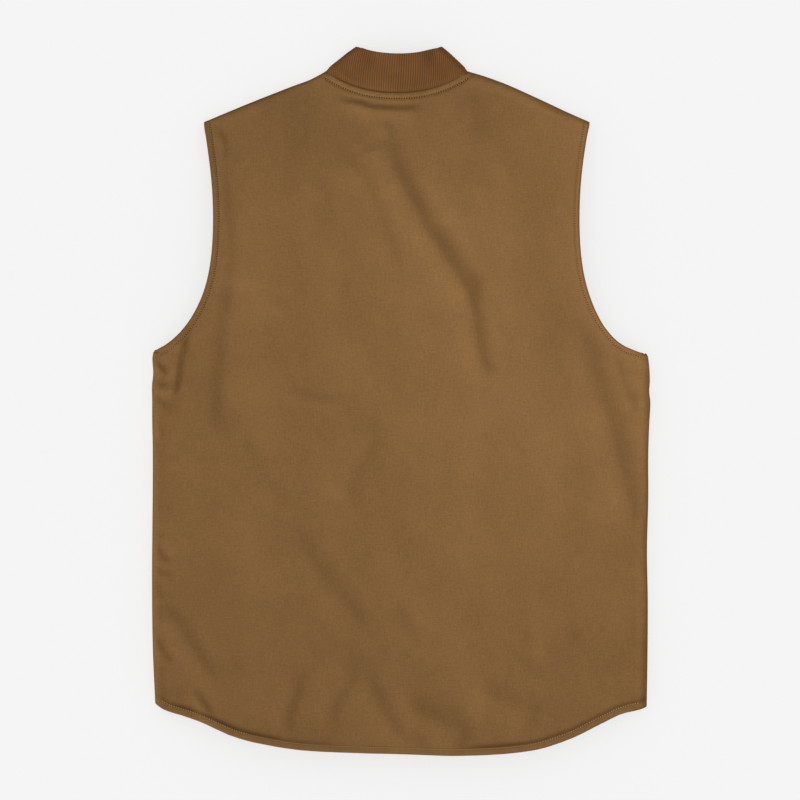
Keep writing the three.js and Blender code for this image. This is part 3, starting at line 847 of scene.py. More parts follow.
def drawn_in(face, normals, inset):
    """A grid whose borders are moved in to leave room for a rounded rim."""
    moved = face.copy()
    fall = inset * (1 - np.arange(RIM_ROWS) / RIM_ROWS)[:, None, None]
    for axis, start, turn in ((0, True, 1), (1, False, 1), (0, False, -1), (1, True, -1)):
        edge = np.take(face, 0 if start else -1, axis=axis)
        normal = np.take(normals, 0 if start else -1, axis=axis)
        out = np.cross(turn * np.gradient(edge, axis=0), normal)
        out /= np.linalg.norm(out, axis=1)[:, None]
        near = np.moveaxis(moved, axis, 0)
        near = near if start else near[::-1]
        near[:RIM_ROWS] -= fall * out[None]
    return moved


def cloth_shell(name, face, normals, outer_depth, inner_depth, bulge, uv_name, uv, edge):
    """A closed wall of cloth: a grid's outer and inner face with a rounded rim between them.

    The depths run in from the grid, uv is the named UV map and edge says where painted shade darkens the
    cloth.
    """
    rows, columns, _ = face.shape
    face = drawn_in(face, normals, bulge)
    loop = border(rows, columns)
    rim = face.reshape(-1, 3)[loop]
    run = np.roll(rim, -1, axis=0) - np.roll(rim, 1, axis=0)
    out = np.cross(run, normals.reshape(-1, 3)[loop])
    out /= np.linalg.norm(out, axis=1)[:, None]
    base = face.reshape(-1, 3)
    outer = base - normals.reshape(-1, 3) * outer_depth.reshape(-1, 1)
    inner = base - normals.reshape(-1, 3) * inner_depth.reshape(-1, 1)
    points, uvs, edges = [outer, inner], [uv, uv], [edge, edge]
    middle, half = (outer[loop] + inner[loop]) / 2, (outer[loop] - inner[loop]) / 2
    for ring in range(1, RIM_RINGS + 1):
        turn = math.pi * ring / (RIM_RINGS + 1)
        points.append(middle + half * math.cos(turn) + out * bulge * math.sin(turn))
        uvs.append(uv[loop])
        edges.append(edge[loop])
    number = np.arange(rows * columns).reshape(rows, columns)
    quads = np.stack([number[:-1, :-1], number[:-1, 1:], number[1:, 1:], number[1:, :-1]], axis=-1)
    faces = [quads.reshape(-1, 4), quads.reshape(-1, 4)[:, ::-1] + rows * columns]
    first_ring = 2 * rows * columns
    rings = [loop]
    rings += [first_ring + k * len(loop) + np.arange(len(loop)) for k in range(RIM_RINGS)]
    rings.append(loop + rows * columns)
    for upper, lower in zip(rings, rings[1:]):
        faces.append(np.stack([upper, lower, np.roll(lower, -1), np.roll(upper, -1)], axis=-1))
    piece = new_piece(name, np.concatenate(points), np.concatenate(faces).tolist())
    mesh = piece.data
    corners = np.zeros(len(mesh.loops), np.int32)
    mesh.loops.foreach_get("vertex_index", corners)
    corner_uv = np.concatenate(uvs)[corners].astype(np.float32)
    mesh.uv_layers.new(name=uv_name).data.foreach_set("uv", corner_uv.ravel())
    shade_edge = np.concatenate(edges).astype(np.float32)
    mesh.attributes.new("edge", "FLOAT", "POINT").data.foreach_set("value", shade_edge)
    return piece


def new_piece(name, points, faces):
    """A smooth mesh object."""
    mesh = bpy.data.meshes.new(name)
    mesh.from_pydata(points.tolist(), [], faces)
    mesh.shade_smooth()
    piece = bpy.data.objects.new(name, mesh)
    bpy.context.scene.collection.objects.link(piece)
    return piece


def settle(piece, node, slot, *materials):
    """Puts a finished piece in its node's place, on the vest's body, with its materials."""
    piece.data.materials.clear()
    for material in materials:
        piece.data.materials.append(material)
    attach(piece, BODY)
    if node:
        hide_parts(node)


def back_face(cloth, thread):
    """The back's outer face as a grid, with the row of the armholes' corners."""
    width = 2 * HEM_CORNER[0]
    neck_side = width * (1 - NECK_POINT[0] / SHOULDER_TIP[0]) / 2
    side = graded(neck_side, BACK_STEP, fine_start=True)
    neck = graded(width - 2 * neck_side, BACK_STEP)
    other = graded(neck_side, BACK_STEP, fine_end=True)
    across = run_on(side, neck, other) / width
    seam = graded(SIDE_SEAM.length, BACK_STEP, fine_start=True, fine_end=True)
    arm = graded(BACK_ARMHOLE.length, BACK_STEP, fine_start=True, fine_end=True)
    up = run_on(seam, arm)
    half = BACK_OUTLINE.at(up)
    bottom_x = mix(-HEM_CORNER[0], HEM_CORNER[0], across)
    top_x = LEAN + mix(-SHOULDER_TIP[0], SHOULDER_TIP[0], across)
    place = patch(
        placed(half, -1),
        placed(half, 1),
        np.stack([bottom_x, back_hem_y(bottom_x)], axis=1),
        np.stack([top_x, top_y("back", top_x)], axis=1),
        across,
        up / BACK_OUTLINE.length,
    )
    x, y = place[..., 0], place[..., 1]
    in_neck = np.minimum(across, 1 - across) * width > neck_side + SEAM_GAP
    return np.dstack([x, y, back_height(x, y, cloth, thread)]), len(seam) - 1, in_neck


def front_face(side, cloth, thread):
    """One front's outer face as a grid, from its side seam to the zip; side is -1 for left, 1 for right."""
    width = HEM_CORNER[0] - FRONT_SLOT
    neck_side = width * (SHOULDER_TIP[0] - NECK_POINT[0]) / (SHOULDER_TIP[0] - FRONT_SLOT)
    outer = graded(neck_side, FRONT_STEP, fine_start=True)
    across = run_on(outer, graded(width - neck_side, FRONT_STEP)) / width
    seam = graded(SIDE_SEAM.length, FRONT_STEP, fine_start=True, fine_end=True)
    arm = graded(FRONT_ARMHOLE.length, FRONT_STEP, fine_start=True, fine_end=True)
    up = run_on(seam, arm)
    half = FRONT_OUTLINE.at(up)
    middle = LEAN + side * FRONT_SLOT
    bottom_x = mix(side * HEM_CORNER[0], middle, across)
    top_x = mix(LEAN + side * SHOULDER_TIP[0], middle, across)
    share = up / FRONT_OUTLINE.length
    zip_y = mix(front_hem_y(middle), top_y("front", middle), share)
    zip_edge = np.stack([np.full(share.shape, middle), zip_y], axis=1)
    place = patch(
        placed(half, side),
        zip_edge,
        np.stack([bottom_x, front_hem_y(bottom_x)], axis=1),
        np.stack([top_x, top_y("front", top_x)], axis=1),
        across,
        share,
    )
    x, y = place[..., 0], place[..., 1]
    in_neck = across * width > neck_side + SEAM_GAP
    face = np.dstack([x, y, front_height(x, y, cloth, thread)])
    if side < 0:  # the outer face looks down
        face, in_neck = face[:, ::-1], in_neck[::-1]
    return face, len(seam) - 1, in_neck


def upright_at_seams(normals, corner_row, in_neck, side_columns):
    """Turns a panel's normals level along its side seams and shoulders, where it meets the other panel."""
    for column in side_columns:
        normals[: corner_row + 1, column, 2] = 0.0
    normals[-1, ~in_neck, 2] = 0.0
    return normals / np.linalg.norm(normals, axis=2)[..., None]


def edge_shade_mask(*distances):
    """Where shade is painted along folded edges: 1 at an edge, and 0 clear of it."""
    return bell(np.minimum.reduce(distances) / EDGE_SHADE)


def duck_panel(name, node, face, normals, wall, edge, material):
    """A panel of duck as a closed wall, with the grain along the vest."""
    grain = face[..., :2].reshape(-1, 2)
    no_depth = np.zeros(wall.shape)
    piece = cloth_shell(name, face, normals, no_depth, wall, RIM_BULGE, "grain", grain, edge.ravel())
    settle(piece, node, "duck", material)
    return piece


def make_back(cloth, thread, material):
    """The back, one sheet of duck from side seam to side seam."""
    face, corner_row, in_neck = back_face(cloth, thread)
    normals = upright_at_seams(grid_normals(face), corner_row, in_neck, (0, -1))
    x, y = face[..., 0], face[..., 1]
    side, shoulder = seam_distances(x, y)
    arm = BACK_ARMHOLE.nearest(*on_half(x, y))[0]
    hem = BACK_HEM.nearest(x, y)[0]
    neck = BACK_NECK.nearest(x, y)[0]
    turned = 1 - smoothstep(np.minimum.reduce([arm, hem, neck]), TURN_WIDTH, TURN_WIDTH + LIP_FALL)
    turned *= smoothstep(np.minimum(side, shoulder), *TURN_START)
    # painted shade: dark at the foot of the hem's ledge and along the neck and armhole stitches, carried in
    # the edge attribute
    foot = FOOT_SHADE_TONE * np.clip(read_table(LEDGE_SHARE, x), 0.0, 1.0)
    foot *= bell((hem - thread.hem - FOOT_AWAY) / FOOT_WIDTH)
    foot = np.maximum(foot, NECK_SHADE_TONE * bell((neck - thread.neck - LINE_AWAY) / LINE_WIDTH))
    arm_shade = np.where(x < 0, ARM_SHADE_TONE[-1], ARM_SHADE_TONE[1])
    foot = np.maximum(foot, arm_shade * bell((arm - arm_stitch(x, thread)) / LINE_WIDTH))
    wall = cloth.wall + cloth.turn_in * turned
    edge = np.maximum(EDGE_SHADE_TONE * edge_shade_mask(side, shoulder, arm), foot)
    return duck_panel("back_cloth", "back_panel", face, normals, wall, edge, material)


def make_front(side, cloth, thread, material):
    """One front, a plain sheet of duck from its side seam to the zip."""
    name = "left" if side < 0 else "right"
    face, corner_row, in_neck = front_face(side, cloth, thread)
    normals = upright_at_seams(grid_normals(face), corner_row, in_neck, (0 if side > 0 else -1,))
    x, y = face[..., 0], face[..., 1]
    wall = np.full(x.shape, cloth.wall)
    # painted shade along the folded edges at the side and shoulder seams
    edge = EDGE_SHADE_TONE * edge_shade_mask(*seam_distances(x, y))
    return duck_panel(f"front_cloth_{name}", f"front_panel_{name}", face, normals, wall, edge, material)


def collar_loop(share):
    """Half of the collar's line at a share of its height, from the middle of the back round to the zip."""
    foot = CollarLine(
        NECK.half_width - NECK_GAP,
        NECK.side + 2 * NECK_GAP,
        NECK.back + NECK_GAP,
        NECK.front + NECK_GAP,
        NECK.lean,
    )
    line = CollarLine(*(mix(a, b, share) for a, b in zip(foot, RIM)))
    line = line._replace(half_width=line.half_width + 4 * COLLAR_BOW * share * (1 - share))
    reach = mix(SHOULDER_REACH, RIM_REACH, share)
    rise = mix(EDGE_RISE, COLLAR_RISE, np.clip(share, 0.0, 1.0))
    crown = read_table(CROWN, line.back) - SEAM_HEIGHT - rise
    share_in = np.linspace(0.0, 1.0, LOOP_POINTS) ** LOOP_CROWDING

    def half_loop(part, x):
        y = neck_y(line, part, x)
        away = np.hypot(line.half_width - x, line.side - y)
        if part == "back":
            z = SEAM_HEIGHT + rise * quarter_round(away / EDGE_ROLL) + crown * quarter_sine(away / reach)
        else:
            z = mix(SEAM_HEIGHT, SEAM_GAP, quarter_round(away / EDGE_ROLL))
        return np.stack([x, y, z], axis=1)

    back = half_loop("back", mix(line.half_width, 0.0, share_in))[::-1]
    front = half_loop("front", mix(line.half_width, FRONT_SLOT, share_in))
    return line.lean, Line(np.concatenate([back, front[1:]]))


def make_collar(ribs, material):
    """The rib-knit collar, one strip from the zip round the neck and back to the zip."""
    height = RIM.back - NECK.back
    half_ribs = round(collar_loop(0.0)[1].length / ribs.pitch)
    turn = np.arange(-half_ribs * RIB_SAMPLES, half_ribs * RIB_SAMPLES + 1) / RIB_SAMPLES
    u = turn / half_ribs
    shares = np.linspace(COLLAR_TUCK, 1.0, COLLAR_ROWS)
    face = np.zeros((len(shares), len(u), 3))
    for row, share in enumerate(shares):
        middle, loop = collar_loop(share)
        along = np.abs(u) * (1 + ribs.fan * share * (1 - np.abs(u)))
        point = loop.at(along * loop.length)
        straight = mix(middle, LEAN, smoothstep(along, *COLLAR_STRAIGHT))
        x, y, z = straight + np.sign(u) * point[:, 0], point[:, 1], point[:, 2]
        for at_rim, at_foot, width, depth in COLLAR_DENTS:
            dent = depth * bell((x - mix(at_foot, at_rim, share)) / width) * smoothstep(share, *DENT_SPAN)
            z = z - dent * smoothstep(z, SEAM_HEIGHT, SEAM_HEIGHT + 2 * EDGE_RISE)
        face[row] = np.stack([x, y, z], axis=1)
    clear = smoothstep(shares, 0.0, COLLAR_SEAM)[:, None]
    valley = ribs.depth * (1 - np.abs(np.cos(math.pi * turn)) ** RIB_ROUND)[None, :]
    outer = (1 - clear) * ribs.seam + valley * mix(FOOT_RIBS, 1.0, clear)
    inner = mix(ribs.wall - ribs.seam, ribs.wall, clear) - valley * clear
    rows = np.broadcast_to(shares[:, None] * height, outer.shape)
    knit = np.dstack([np.broadcast_to(turn[None, :], outer.shape), rows])
    piece = cloth_shell(
        "collar_knit",
        face,
        grid_normals(face),
        outer,
        inner,
        ribs.wall / 2,
        "knit",
        knit.reshape(-1, 2),
        np.zeros(outer.size),
    )
    settle(piece, "rib_collar", "rib_knit", material)
    return piece


# Stitching


def deselect():
    bpy.ops.object.select_all(action="DESELECT")


def shape_mesh(size, place, turn=0.0, bevel=0.0):
    """Turns, sizes, bevels and moves the active object's mesh."""
    bpy.ops.object.mode_set(mode="EDIT")
    bpy.ops.mesh.select_all(action="SELECT")
    if turn:
        bpy.ops.transform.rotate(value=turn, orient_axis="Y", center_override=(0.0, 0.0, 0.0))
    bpy.ops.transform.resize(value=size)
    if bevel:
        bpy.ops.mesh.bevel(offset=bevel, segments=1, affect="EDGES")
    bpy.ops.transform.translate(value=place)
    bpy.ops.object.mode_set(mode="OBJECT")


def master_stitch(thread, look):
    """One stitch and the painted shadow of the needle hole at its end, as points, faces and the material of
    each face.
    """
    deselect()
    bpy.ops.mesh.primitive_uv_sphere_add(segments=THREAD_SEGMENTS, ring_count=THREAD_RINGS, radius=0.5)
    stitch = bpy.context.object
    thick = look.thickness * thread.thickness
    size = (look.length * thread.length, thick, thick)
    shape_mesh(size, (0.0, 0.0, look.lift * thick), turn=math.pi / 2)
    deselect()
    # painted shadow: a flat dark disc stands for the shade in the needle hole
    hole_at = (thread.pitch / 2, 0.0, HOLE_LIFT)
    bpy.ops.mesh.primitive_circle_add(
        vertices=HOLE_POINTS, radius=look.hole, fill_type="TRIFAN", location=hole_at
    )
    hole = bpy.context.object
    bpy.ops.object.transform_apply(location=True, rotation=True, scale=True)
    points, faces, slots = [], [], []
    for slot, part in enumerate((stitch, hole)):
        start = len(points)
        points += [tuple(vertex.co) for vertex in part.data.vertices]
        faces += [[start + i for i in face.vertices] for face in part.data.polygons]
        slots += [slot] * len(part.data.polygons)
        bpy.data.objects.remove(part)
    return np.array(points), faces, slots


def stitch_frames(line, panel, thread, margin, side):
    """Places and axes of the stitches along a line on a panel; side is 1 for its upper face, or -1."""
    count = int((line.length - 2 * margin) / thread.pitch)
    along = margin + (np.arange(count) + 0.5) * thread.pitch
    reach = thread.pitch / 2

    def on_panel(place):
        return np.array([first_hit(panel, x, y, side) for x, y in place])

    place = line.at(along)
    ahead, behind = on_panel(line.at(along + reach)), on_panel(line.at(along - reach))
    run = ahead - behind
    run /= np.linalg.norm(run, axis=1)[:, None]
    sideways = np.stack([-run[:, 1], run[:, 0]], axis=1)
    beside = on_panel(place + reach * sideways) - on_panel(place - reach * sideways)
    normal = np.cross(run, beside)
    normal /= np.linalg.norm(normal, axis=1)[:, None]
    return on_panel(place), run, np.cross(normal, run), normal


def first_hit(panel, x, y, side):
    """Where a panel is met from above, side 1, or from below, side -1."""
    hit = panel.ray_cast(Vector((x, y, side)), Vector((0.0, 0.0, -side)))[0]
    if hit is None:
        raise RuntimeError(f"a stitch at {x:.3f}, {y:.3f} lies off its panel")
    return hit


def stitch_rows(thread):
    """Each row of stitches: its edge, line, panel, end margin and the side it shows on."""
    rows = [("hem", BACK_HEM.moved_left(thread.hem), "back_cloth", STITCH_MARGIN, 1)]
    rows.append(("neck", BACK_NECK.moved_left(thread.neck), "back_cloth", NECK_MARGIN, 1))
    hem = FRONT_HEM.moved_left(thread.hem).points
    for side, name in ((-1, "front_cloth_left"), (1, "front_cloth_right")):
        stitch = float(arm_stitch(side, thread))
        back_arm = placed(BACK_ARMHOLE.moved_left(stitch).points, side)
        rows.append(("armhole", Line(back_arm), "back_cloth", STITCH_MARGIN, 1))
        front_arm = placed(FRONT_ARMHOLE.moved_left(stitch).points, side)
        rows.append(("armhole", Line(front_arm), name, EDGE_ROLL, -1))
        beside_zip = side * (hem[:, 0] - LEAN) > FRONT_SLOT + STITCH_MARGIN
        rows.append(("hem", Line(hem[beside_zip]), name, EDGE_ROLL, -1))
    return rows


def make_stitching(thread, materials):
    """All rows of topstitching as one joined piece."""
    masters = {edge: master_stitch(thread, look) for edge, look in STITCH_LOOKS.items()}
    graph = bpy.context.evaluated_depsgraph_get()
    random = np.random.default_rng(STITCH_SEED)
    all_points, all_faces, all_slots = [], [], []
    start = 0
    for edge, line, name, margin, side in stitch_rows(thread):
        points, faces, slots = masters[edge]
        panel = BVHTree.FromObject(bpy.data.objects[name], graph)
        frames = stitch_frames(line, panel, thread, margin, side)
        for origin, run, beside, normal in zip(*frames):
            yaw = random.normal(0.0, STITCH_YAW)
            lift = abs(random.normal(0.0, STITCH_UNEVEN)) * thread.thickness
            ahead = run * math.cos(yaw) + beside * math.sin(yaw)
            across = beside * math.cos(yaw) - run * math.sin(yaw)
            local = points[:, :1] * ahead + points[:, 1:2] * across * side + points[:, 2:] * normal * side
            all_points.append(origin + normal * side * lift + local)
            all_faces += [[start + i for i in face] for face in faces]
            all_slots += slots
            start += len(points)
    piece = new_piece("edge_stitching", np.concatenate(all_points), all_faces)
    settle(piece, None, "duck", *materials)
    piece.data.polygons.foreach_set("material_index", all_slots)
    return piece


# Zip


def make_zip(materials):
    """The closed zip: a woven tape with two rows of teeth that interlock."""
    start = front_hem_y(LEAN) + ZIP_END
    end = RIM.front - ZIP_END
    deselect()
    columns, rows = TAPE_SQUARES
    bpy.ops.mesh.primitive_grid_add(x_subdivisions=columns, y_subdivisions=rows, size=1.0)
    tape = bpy.context.object
    shape_mesh((ZIP_TAPE, end - start, 1.0), (LEAN, (start + end) / 2, ZIP_INSIDE + ZIP_TAPE_WALL))
    wall = tape.modifiers.new("wall", "SOLIDIFY")
    wall.thickness = ZIP_TAPE_WALL
    wall.offset = -1.0
    bpy.ops.object.modifier_apply(modifier=wall.name)
    tape.name = "zip_chain"
    tape.data.name = "zip_chain"
    for material in materials:
        tape.data.materials.append(material)
    teeth = [make_teeth(side, start, end, materials[1]) for side in (-1, 1)]
    deselect()
    for row in teeth:
        row.select_set(True)
    tape.select_set(True)
    bpy.context.view_layer.objects.active = tape
    bpy.ops.object.join()
    bpy.ops.object.shade_smooth_by_angle(angle=SMOOTH_ANGLE)
    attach(tape, BODY)
    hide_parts("front_zip")
    return tape


def make_teeth(side, start, end, material):
    """One row of the zip's teeth, every second place along it."""
    deep = ZIP_INSIDE - ZIP_UNDER
    bpy.ops.mesh.primitive_cube_add(size=1.0)
    tooth = bpy.context.object
    first = start + ZIP_PITCH * (1 if side < 0 else 2)
    place = (LEAN + side * TOOTH_ASIDE, first, ZIP_UNDER + deep / 2)
    shape_mesh((TOOTH_WIDTH, TOOTH_LENGTH * ZIP_PITCH, deep), place, bevel=TOOTH_BEVEL)
    tooth.data.materials.append(material)
    row = tooth.modifiers.new("row", "ARRAY")
    row.use_relative_offset = False
    row.use_constant_offset = True
    row.constant_offset_displace = (0.0, 2 * ZIP_PITCH, 0.0)
    row.count = int((end - start - 3 * ZIP_PITCH) / (2 * ZIP_PITCH))
    bpy.ops.object.modifier_apply(modifier=row.name)
    return tooth


# Materials


def add_node(tree, kind, settings=None, inputs=None):
    """A node with its settings, and with each input set or linked."""
    node = tree.nodes.new(kind)
    for name, value in (settings or {}).items():
        setattr(node, name, value)
    for name, value in (inputs or {}).items():
        if isinstance(value, bpy.types.NodeSocket):
            tree.links.new(value, node.inputs[name])
        else:
            node.inputs[name].default_value = value
    return node


def math_node(tree, operation, *values):
    return add_node(tree, "ShaderNodeMath", {"operation": operation}, dict(enumerate(values))).outputs[0]


def noise_node(tree, vector, scale, detail=2.0):
    inputs = {"Vector": vector, "Scale": scale, "Detail": detail}
    return add_node(tree, "ShaderNodeTexNoise", None, inputs).outputs["Fac"]


def stretched(tree, vector, scale):
    """A pattern's coordinates drawn out along an axis."""
    return add_node(tree, "ShaderNodeMapping", None, {"Vector": vector, "Scale": scale}).outputs[0]


class Term(NamedTuple):
    """One value of a sum, with its weight and its middle."""

    value: object
    weight: float
    middle: float = 0.5


def weighted(tree, base, *terms):
    """A base and each term's distance from its middle, times its weight."""
    total = base - sum(weight * middle for _, weight, middle in terms)
    for value, weight, _ in terms:
        total = math_node(tree, "MULTIPLY_ADD", value, weight, total)
    return total


def two_tone(tree, factor, first, second):
    """A blend of two colours, each given or linked."""
    inputs = {0: factor, MIX_FIRST: first, MIX_SECOND: second}
    return add_node(tree, "ShaderNodeMix", {"data_type": "RGBA"}, inputs).outputs[MIX_RESULT]


def shade(base, share):
    """A darker or lighter shade of a colour."""
    return (*(share * part for part in base), 1.0)


def paint(tree, shader, factor, base, dark, light):
    """Colours a shader with two shades of a colour, blended by a factor."""
    tone = two_tone(tree, factor, shade(base, dark), shade(base, light))
    tree.links.new(tone, shader.inputs["Base Color"])


def object_place(tree):
    return add_node(tree, "ShaderNodeTexCoord").outputs["Object"]


def new_material(name, inputs):
    """A material, its tree and its shader, with the shader's inputs set."""
    material = bpy.data.materials.new(name)
    material.use_nodes = True
    shader = material.node_tree.nodes["Principled BSDF"]
    for key, value in inputs.items():
        shader.inputs[key].default_value = value
    return material, material.node_tree, shader


def cloth_material(name, roughness, sheen):
    """A matt cloth's material, its tree and its shader."""
    return new_material(name, {"Roughness": roughness, "Sheen Weight": sheen, **CLOTH_FINISH})


def add_bump(tree, shader, height, distance, strength):
    inputs = {"Height": height, "Distance": distance, "Strength": strength}
    bump = add_node(tree, "ShaderNodeBump", None, inputs)
    tree.links.new(bump.outputs["Normal"], shader.inputs["Normal"])


def duck_material(colours):
    """Cotton duck: a firm plain weave with slubs, clouded a little, with shade painted along its folded
    edges and beside its stitches.
    """
    material, tree, shader = cloth_material("cotton_duck", roughness=0.95, sheen=0.0)
    grain = add_node(tree, "ShaderNodeUVMap", {"uv_map": "grain"}).outputs["UV"]
    wander = noise_node(tree, grain, scale=260.0)
    parts = add_node(tree, "ShaderNodeSeparateXYZ", None, {0: grain})

    def threads(across):
        """The rise and fall of the threads that lie side by side along an axis."""
        turned = math_node(tree, "MULTIPLY", across, math.pi / WEAVE_PITCH)
        return math_node(tree, "SINE", math_node(tree, "MULTIPLY_ADD", wander, WEAVE_WANDER, turned))

    warp, weft = threads(parts.outputs[0]), threads(parts.outputs[1])
    over = math_node(tree, "MULTIPLY", warp, weft)
    warp_up, weft_up = math_node(tree, "ADD", 1.0, over), math_node(tree, "SUBTRACT", 1.0, over)
    warp = math_node(tree, "MULTIPLY", math_node(tree, "ABSOLUTE", warp), warp_up)
    weft = math_node(tree, "MULTIPLY", math_node(tree, "ABSOLUTE", weft), weft_up)
    weave = math_node(tree, "MAXIMUM", warp, weft)
    slub_across = noise_node(tree, stretched(tree, grain, (SLUB_LONG, SLUB_FINE, 1.0)), scale=1.0)
    slub_up = noise_node(tree, stretched(tree, grain, (SLUB_FINE, SLUB_LONG, 1.0)), scale=1.0)
    tone = weighted(
        tree,
        MIDDLE_TONE,
        Term(noise_node(tree, grain, scale=16.0, detail=3.0), weight=0.9),
        Term(slub_across, weight=1.15),
        Term(slub_up, weight=1.15),
        Term(noise_node(tree, grain, scale=420.0, detail=1.0), weight=1.25),
        Term(weave, weight=0.16, middle=1.0),
    )
    # painted shade: the edge attribute darkens the cloth towards the shade colour
    edge = add_node(tree, "ShaderNodeAttribute", {"attribute_name": "edge"}).outputs["Fac"]
    cloth = two_tone(tree, tone, (*colours.duck_dark, 1.0), (*colours.duck_light, 1.0))
    cloth = two_tone(tree, edge, cloth, (*colours.duck_shade, 1.0))
    tree.links.new(cloth, shader.inputs["Base Color"])
    relief = weighted(
        tree,
        MIDDLE_TONE,
        Term(weave, weight=0.4, middle=1.0),
        Term(slub_across, weight=0.5),
        Term(slub_up, weight=0.5),
    )
    add_bump(tree, shader, relief, distance=0.00025, strength=0.5)
    return material


def knit_material(colours):
    """Rib knit: rows of small loops along each rib, with painted shade darkening the valleys between the
    ribs.
    """
    material, tree, shader = cloth_material("knitted_rib", roughness=0.95, sheen=0.03)
    knit = add_node(tree, "ShaderNodeUVMap", {"uv_map": "knit"}).outputs["UV"]
    parts = add_node(tree, "ShaderNodeSeparateXYZ", None, {0: knit})
    ribs, height = parts.outputs[0], parts.outputs[1]
    turned = math_node(tree, "MULTIPLY", ribs, math.pi)
    crest = math_node(tree, "ABSOLUTE", math_node(tree, "COSINE", turned))
    rise = math_node(tree, "MULTIPLY", height, math.tau / LOOP_PITCH)
    loops = math_node(tree, "SINE", math_node(tree, "MULTIPLY_ADD", crest, LOOP_BEND, rise))
    position = object_place(tree)
    fuzz = noise_node(tree, position, scale=900.0)
    tone = weighted(
        tree,
        KNIT_TONE,
        # painted shade: lighter on the rib crests, darker in the valleys
        Term(crest, weight=0.5, middle=0.64),
        Term(noise_node(tree, position, scale=45.0), weight=0.8),
        Term(fuzz, weight=0.5),
        Term(loops, weight=0.1, middle=0.0),
    )
    cloth = two_tone(tree, tone, (*colours.knit_dark, 1.0), (*colours.knit_light, 1.0))
    tree.links.new(cloth, shader.inputs["Base Color"])
    relief = weighted(tree, MIDDLE_TONE, Term(loops, weight=0.3, middle=0.0), Term(fuzz, weight=0.4))
    add_bump(tree, shader, relief, distance=0.0005, strength=0.8)
    return material


def thread_material(colours):
    """Spun thread, a little smoother than the duck."""
    material, tree, shader = cloth_material("spun_thread", roughness=0.75, sheen=0.1)
    position = object_place(tree)
    tone = noise_node(tree, position, scale=700.0)
    paint(tree, shader, tone, colours.thread, dark=0.75, light=1.25)
    fibres = noise_node(tree, position, scale=3000.0)
    add_bump(tree, shader, fibres, distance=0.0001, strength=0.4)
    return material


def hole_material(colours):
    """The shadow in a needle hole."""
    material, tree, shader = cloth_material("needle_hole", roughness=1.0, sheen=0.0)
    tone = noise_node(tree, object_place(tree), scale=500.0)
    paint(tree, shader, tone, colours.hole, dark=1.0, light=1.6)
    return material


def tape_material(colours):
    """Woven zip tape with a herringbone of fine ribs."""
    material, tree, shader = cloth_material("zip_tape", roughness=0.8, sheen=0.05)
    position = object_place(tree)
    parts = add_node(tree, "ShaderNodeSeparateXYZ", None, {0: position})
    turns = math.tau / TAPE_PITCH
    run = math_node(tree, "MULTIPLY", parts.outputs[1], turns)
    slant = math_node(tree, "MULTIPLY", math_node(tree, "ABSOLUTE", parts.outputs[0]), turns)
    weave = math_node(tree, "SINE", math_node(tree, "ADD", run, slant))
    wear = noise_node(tree, position, scale=300.0)
    tone = weighted(tree, MIDDLE_TONE, Term(weave, weight=0.3, middle=0.0), Term(wear, weight=0.8))
    paint(tree, shader, tone, colours.tape, dark=0.8, light=1.2)
    add_bump(tree, shader, weave, distance=0.0001, strength=0.4)
    return material


def teeth_material(colours):
    """Brass teeth, worn a little unevenly."""
    material, tree, shader = new_material("zip_teeth", {"Metallic": 1.0})
    wear = noise_node(tree, object_place(tree), scale=220.0, detail=3.0)
    paint(tree, shader, wear, colours.teeth, dark=0.7, light=1.0)
    rough = weighted(tree, TEETH_ROUGH, Term(wear, weight=0.3))
    tree.links.new(rough, shader.inputs["Roughness"])
    return material


def material_named(name, maker, colours):
    """A material that is made once and then used again."""
    return bpy.data.materials.get(name) or maker(colours)


# Operators


def needed_node(name):
    """Stops with a plain message if the frame lacks a node that a piece stands for."""
    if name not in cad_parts:
        raise RuntimeError(f"the frame has no node named {name}")


class VEST_OT_back(Operator):
    """Make the back panel of duck, with its folds and turned edges"""

    bl_idname = "vest.back"
    bl_label = "Back"

    def execute(self, context):
        needed_node("back_panel")
        scene = context.scene
        duck = material_named("cotton_duck", duck_material, scene.vest_colours)
        piece = make_back(scene.vest_cloth, scene.vest_thread, duck)
        return {"FINISHED"}


class VEST_OT_fronts(Operator):
    """Make the two front panels, which lie under the back"""

    bl_idname = "vest.fronts"
    bl_label = "Fronts"

    def execute(self, context):
        scene = context.scene
        duck = material_named("cotton_duck", duck_material, scene.vest_colours)
        for side, name in ((-1, "front_panel_left"), (1, "front_panel_right")):
            needed_node(name)
            piece = make_front(side, scene.vest_cloth, scene.vest_thread, duck)
        return {"FINISHED"}


class VEST_OT_collar(Operator):
    """Make the rib-knit stand collar"""

    bl_idname = "vest.collar"
    bl_label = "Collar"

    def execute(self, context):
        needed_node("rib_collar")
        scene = context.scene
        knit = material_named("knitted_rib", knit_material, scene.vest_colours)
        piece = make_collar(scene.vest_ribs, knit)
        return {"FINISHED"}


class VEST_OT_zip(Operator):
    """Make the closed zip between the fronts"""

    bl_idname = "vest.zip"
    bl_label = "Zip"

    def execute(self, context):
        needed_node("front_zip")
        colours = context.scene.vest_colours
        tape = material_named("zip_tape", tape_material, colours)
        teeth = material_named("zip_teeth", teeth_material, colours)
        make_zip((tape, teeth))
        return {"FINISHED"}


class VEST_OT_stitching(Operator):
    """Make the topstitching along the hems, armholes and neck"""

    bl_idname = "vest.stitching"
    bl_label = "Stitching"

    def execute(self, context):
        scene = context.scene
        thread = material_named("spun_thread", thread_material, scene.vest_colours)
        hole = material_named("needle_hole", hole_material, scene.vest_colours)
        make_stitching(scene.vest_thread, (thread, hole))
        return {"FINISHED"}


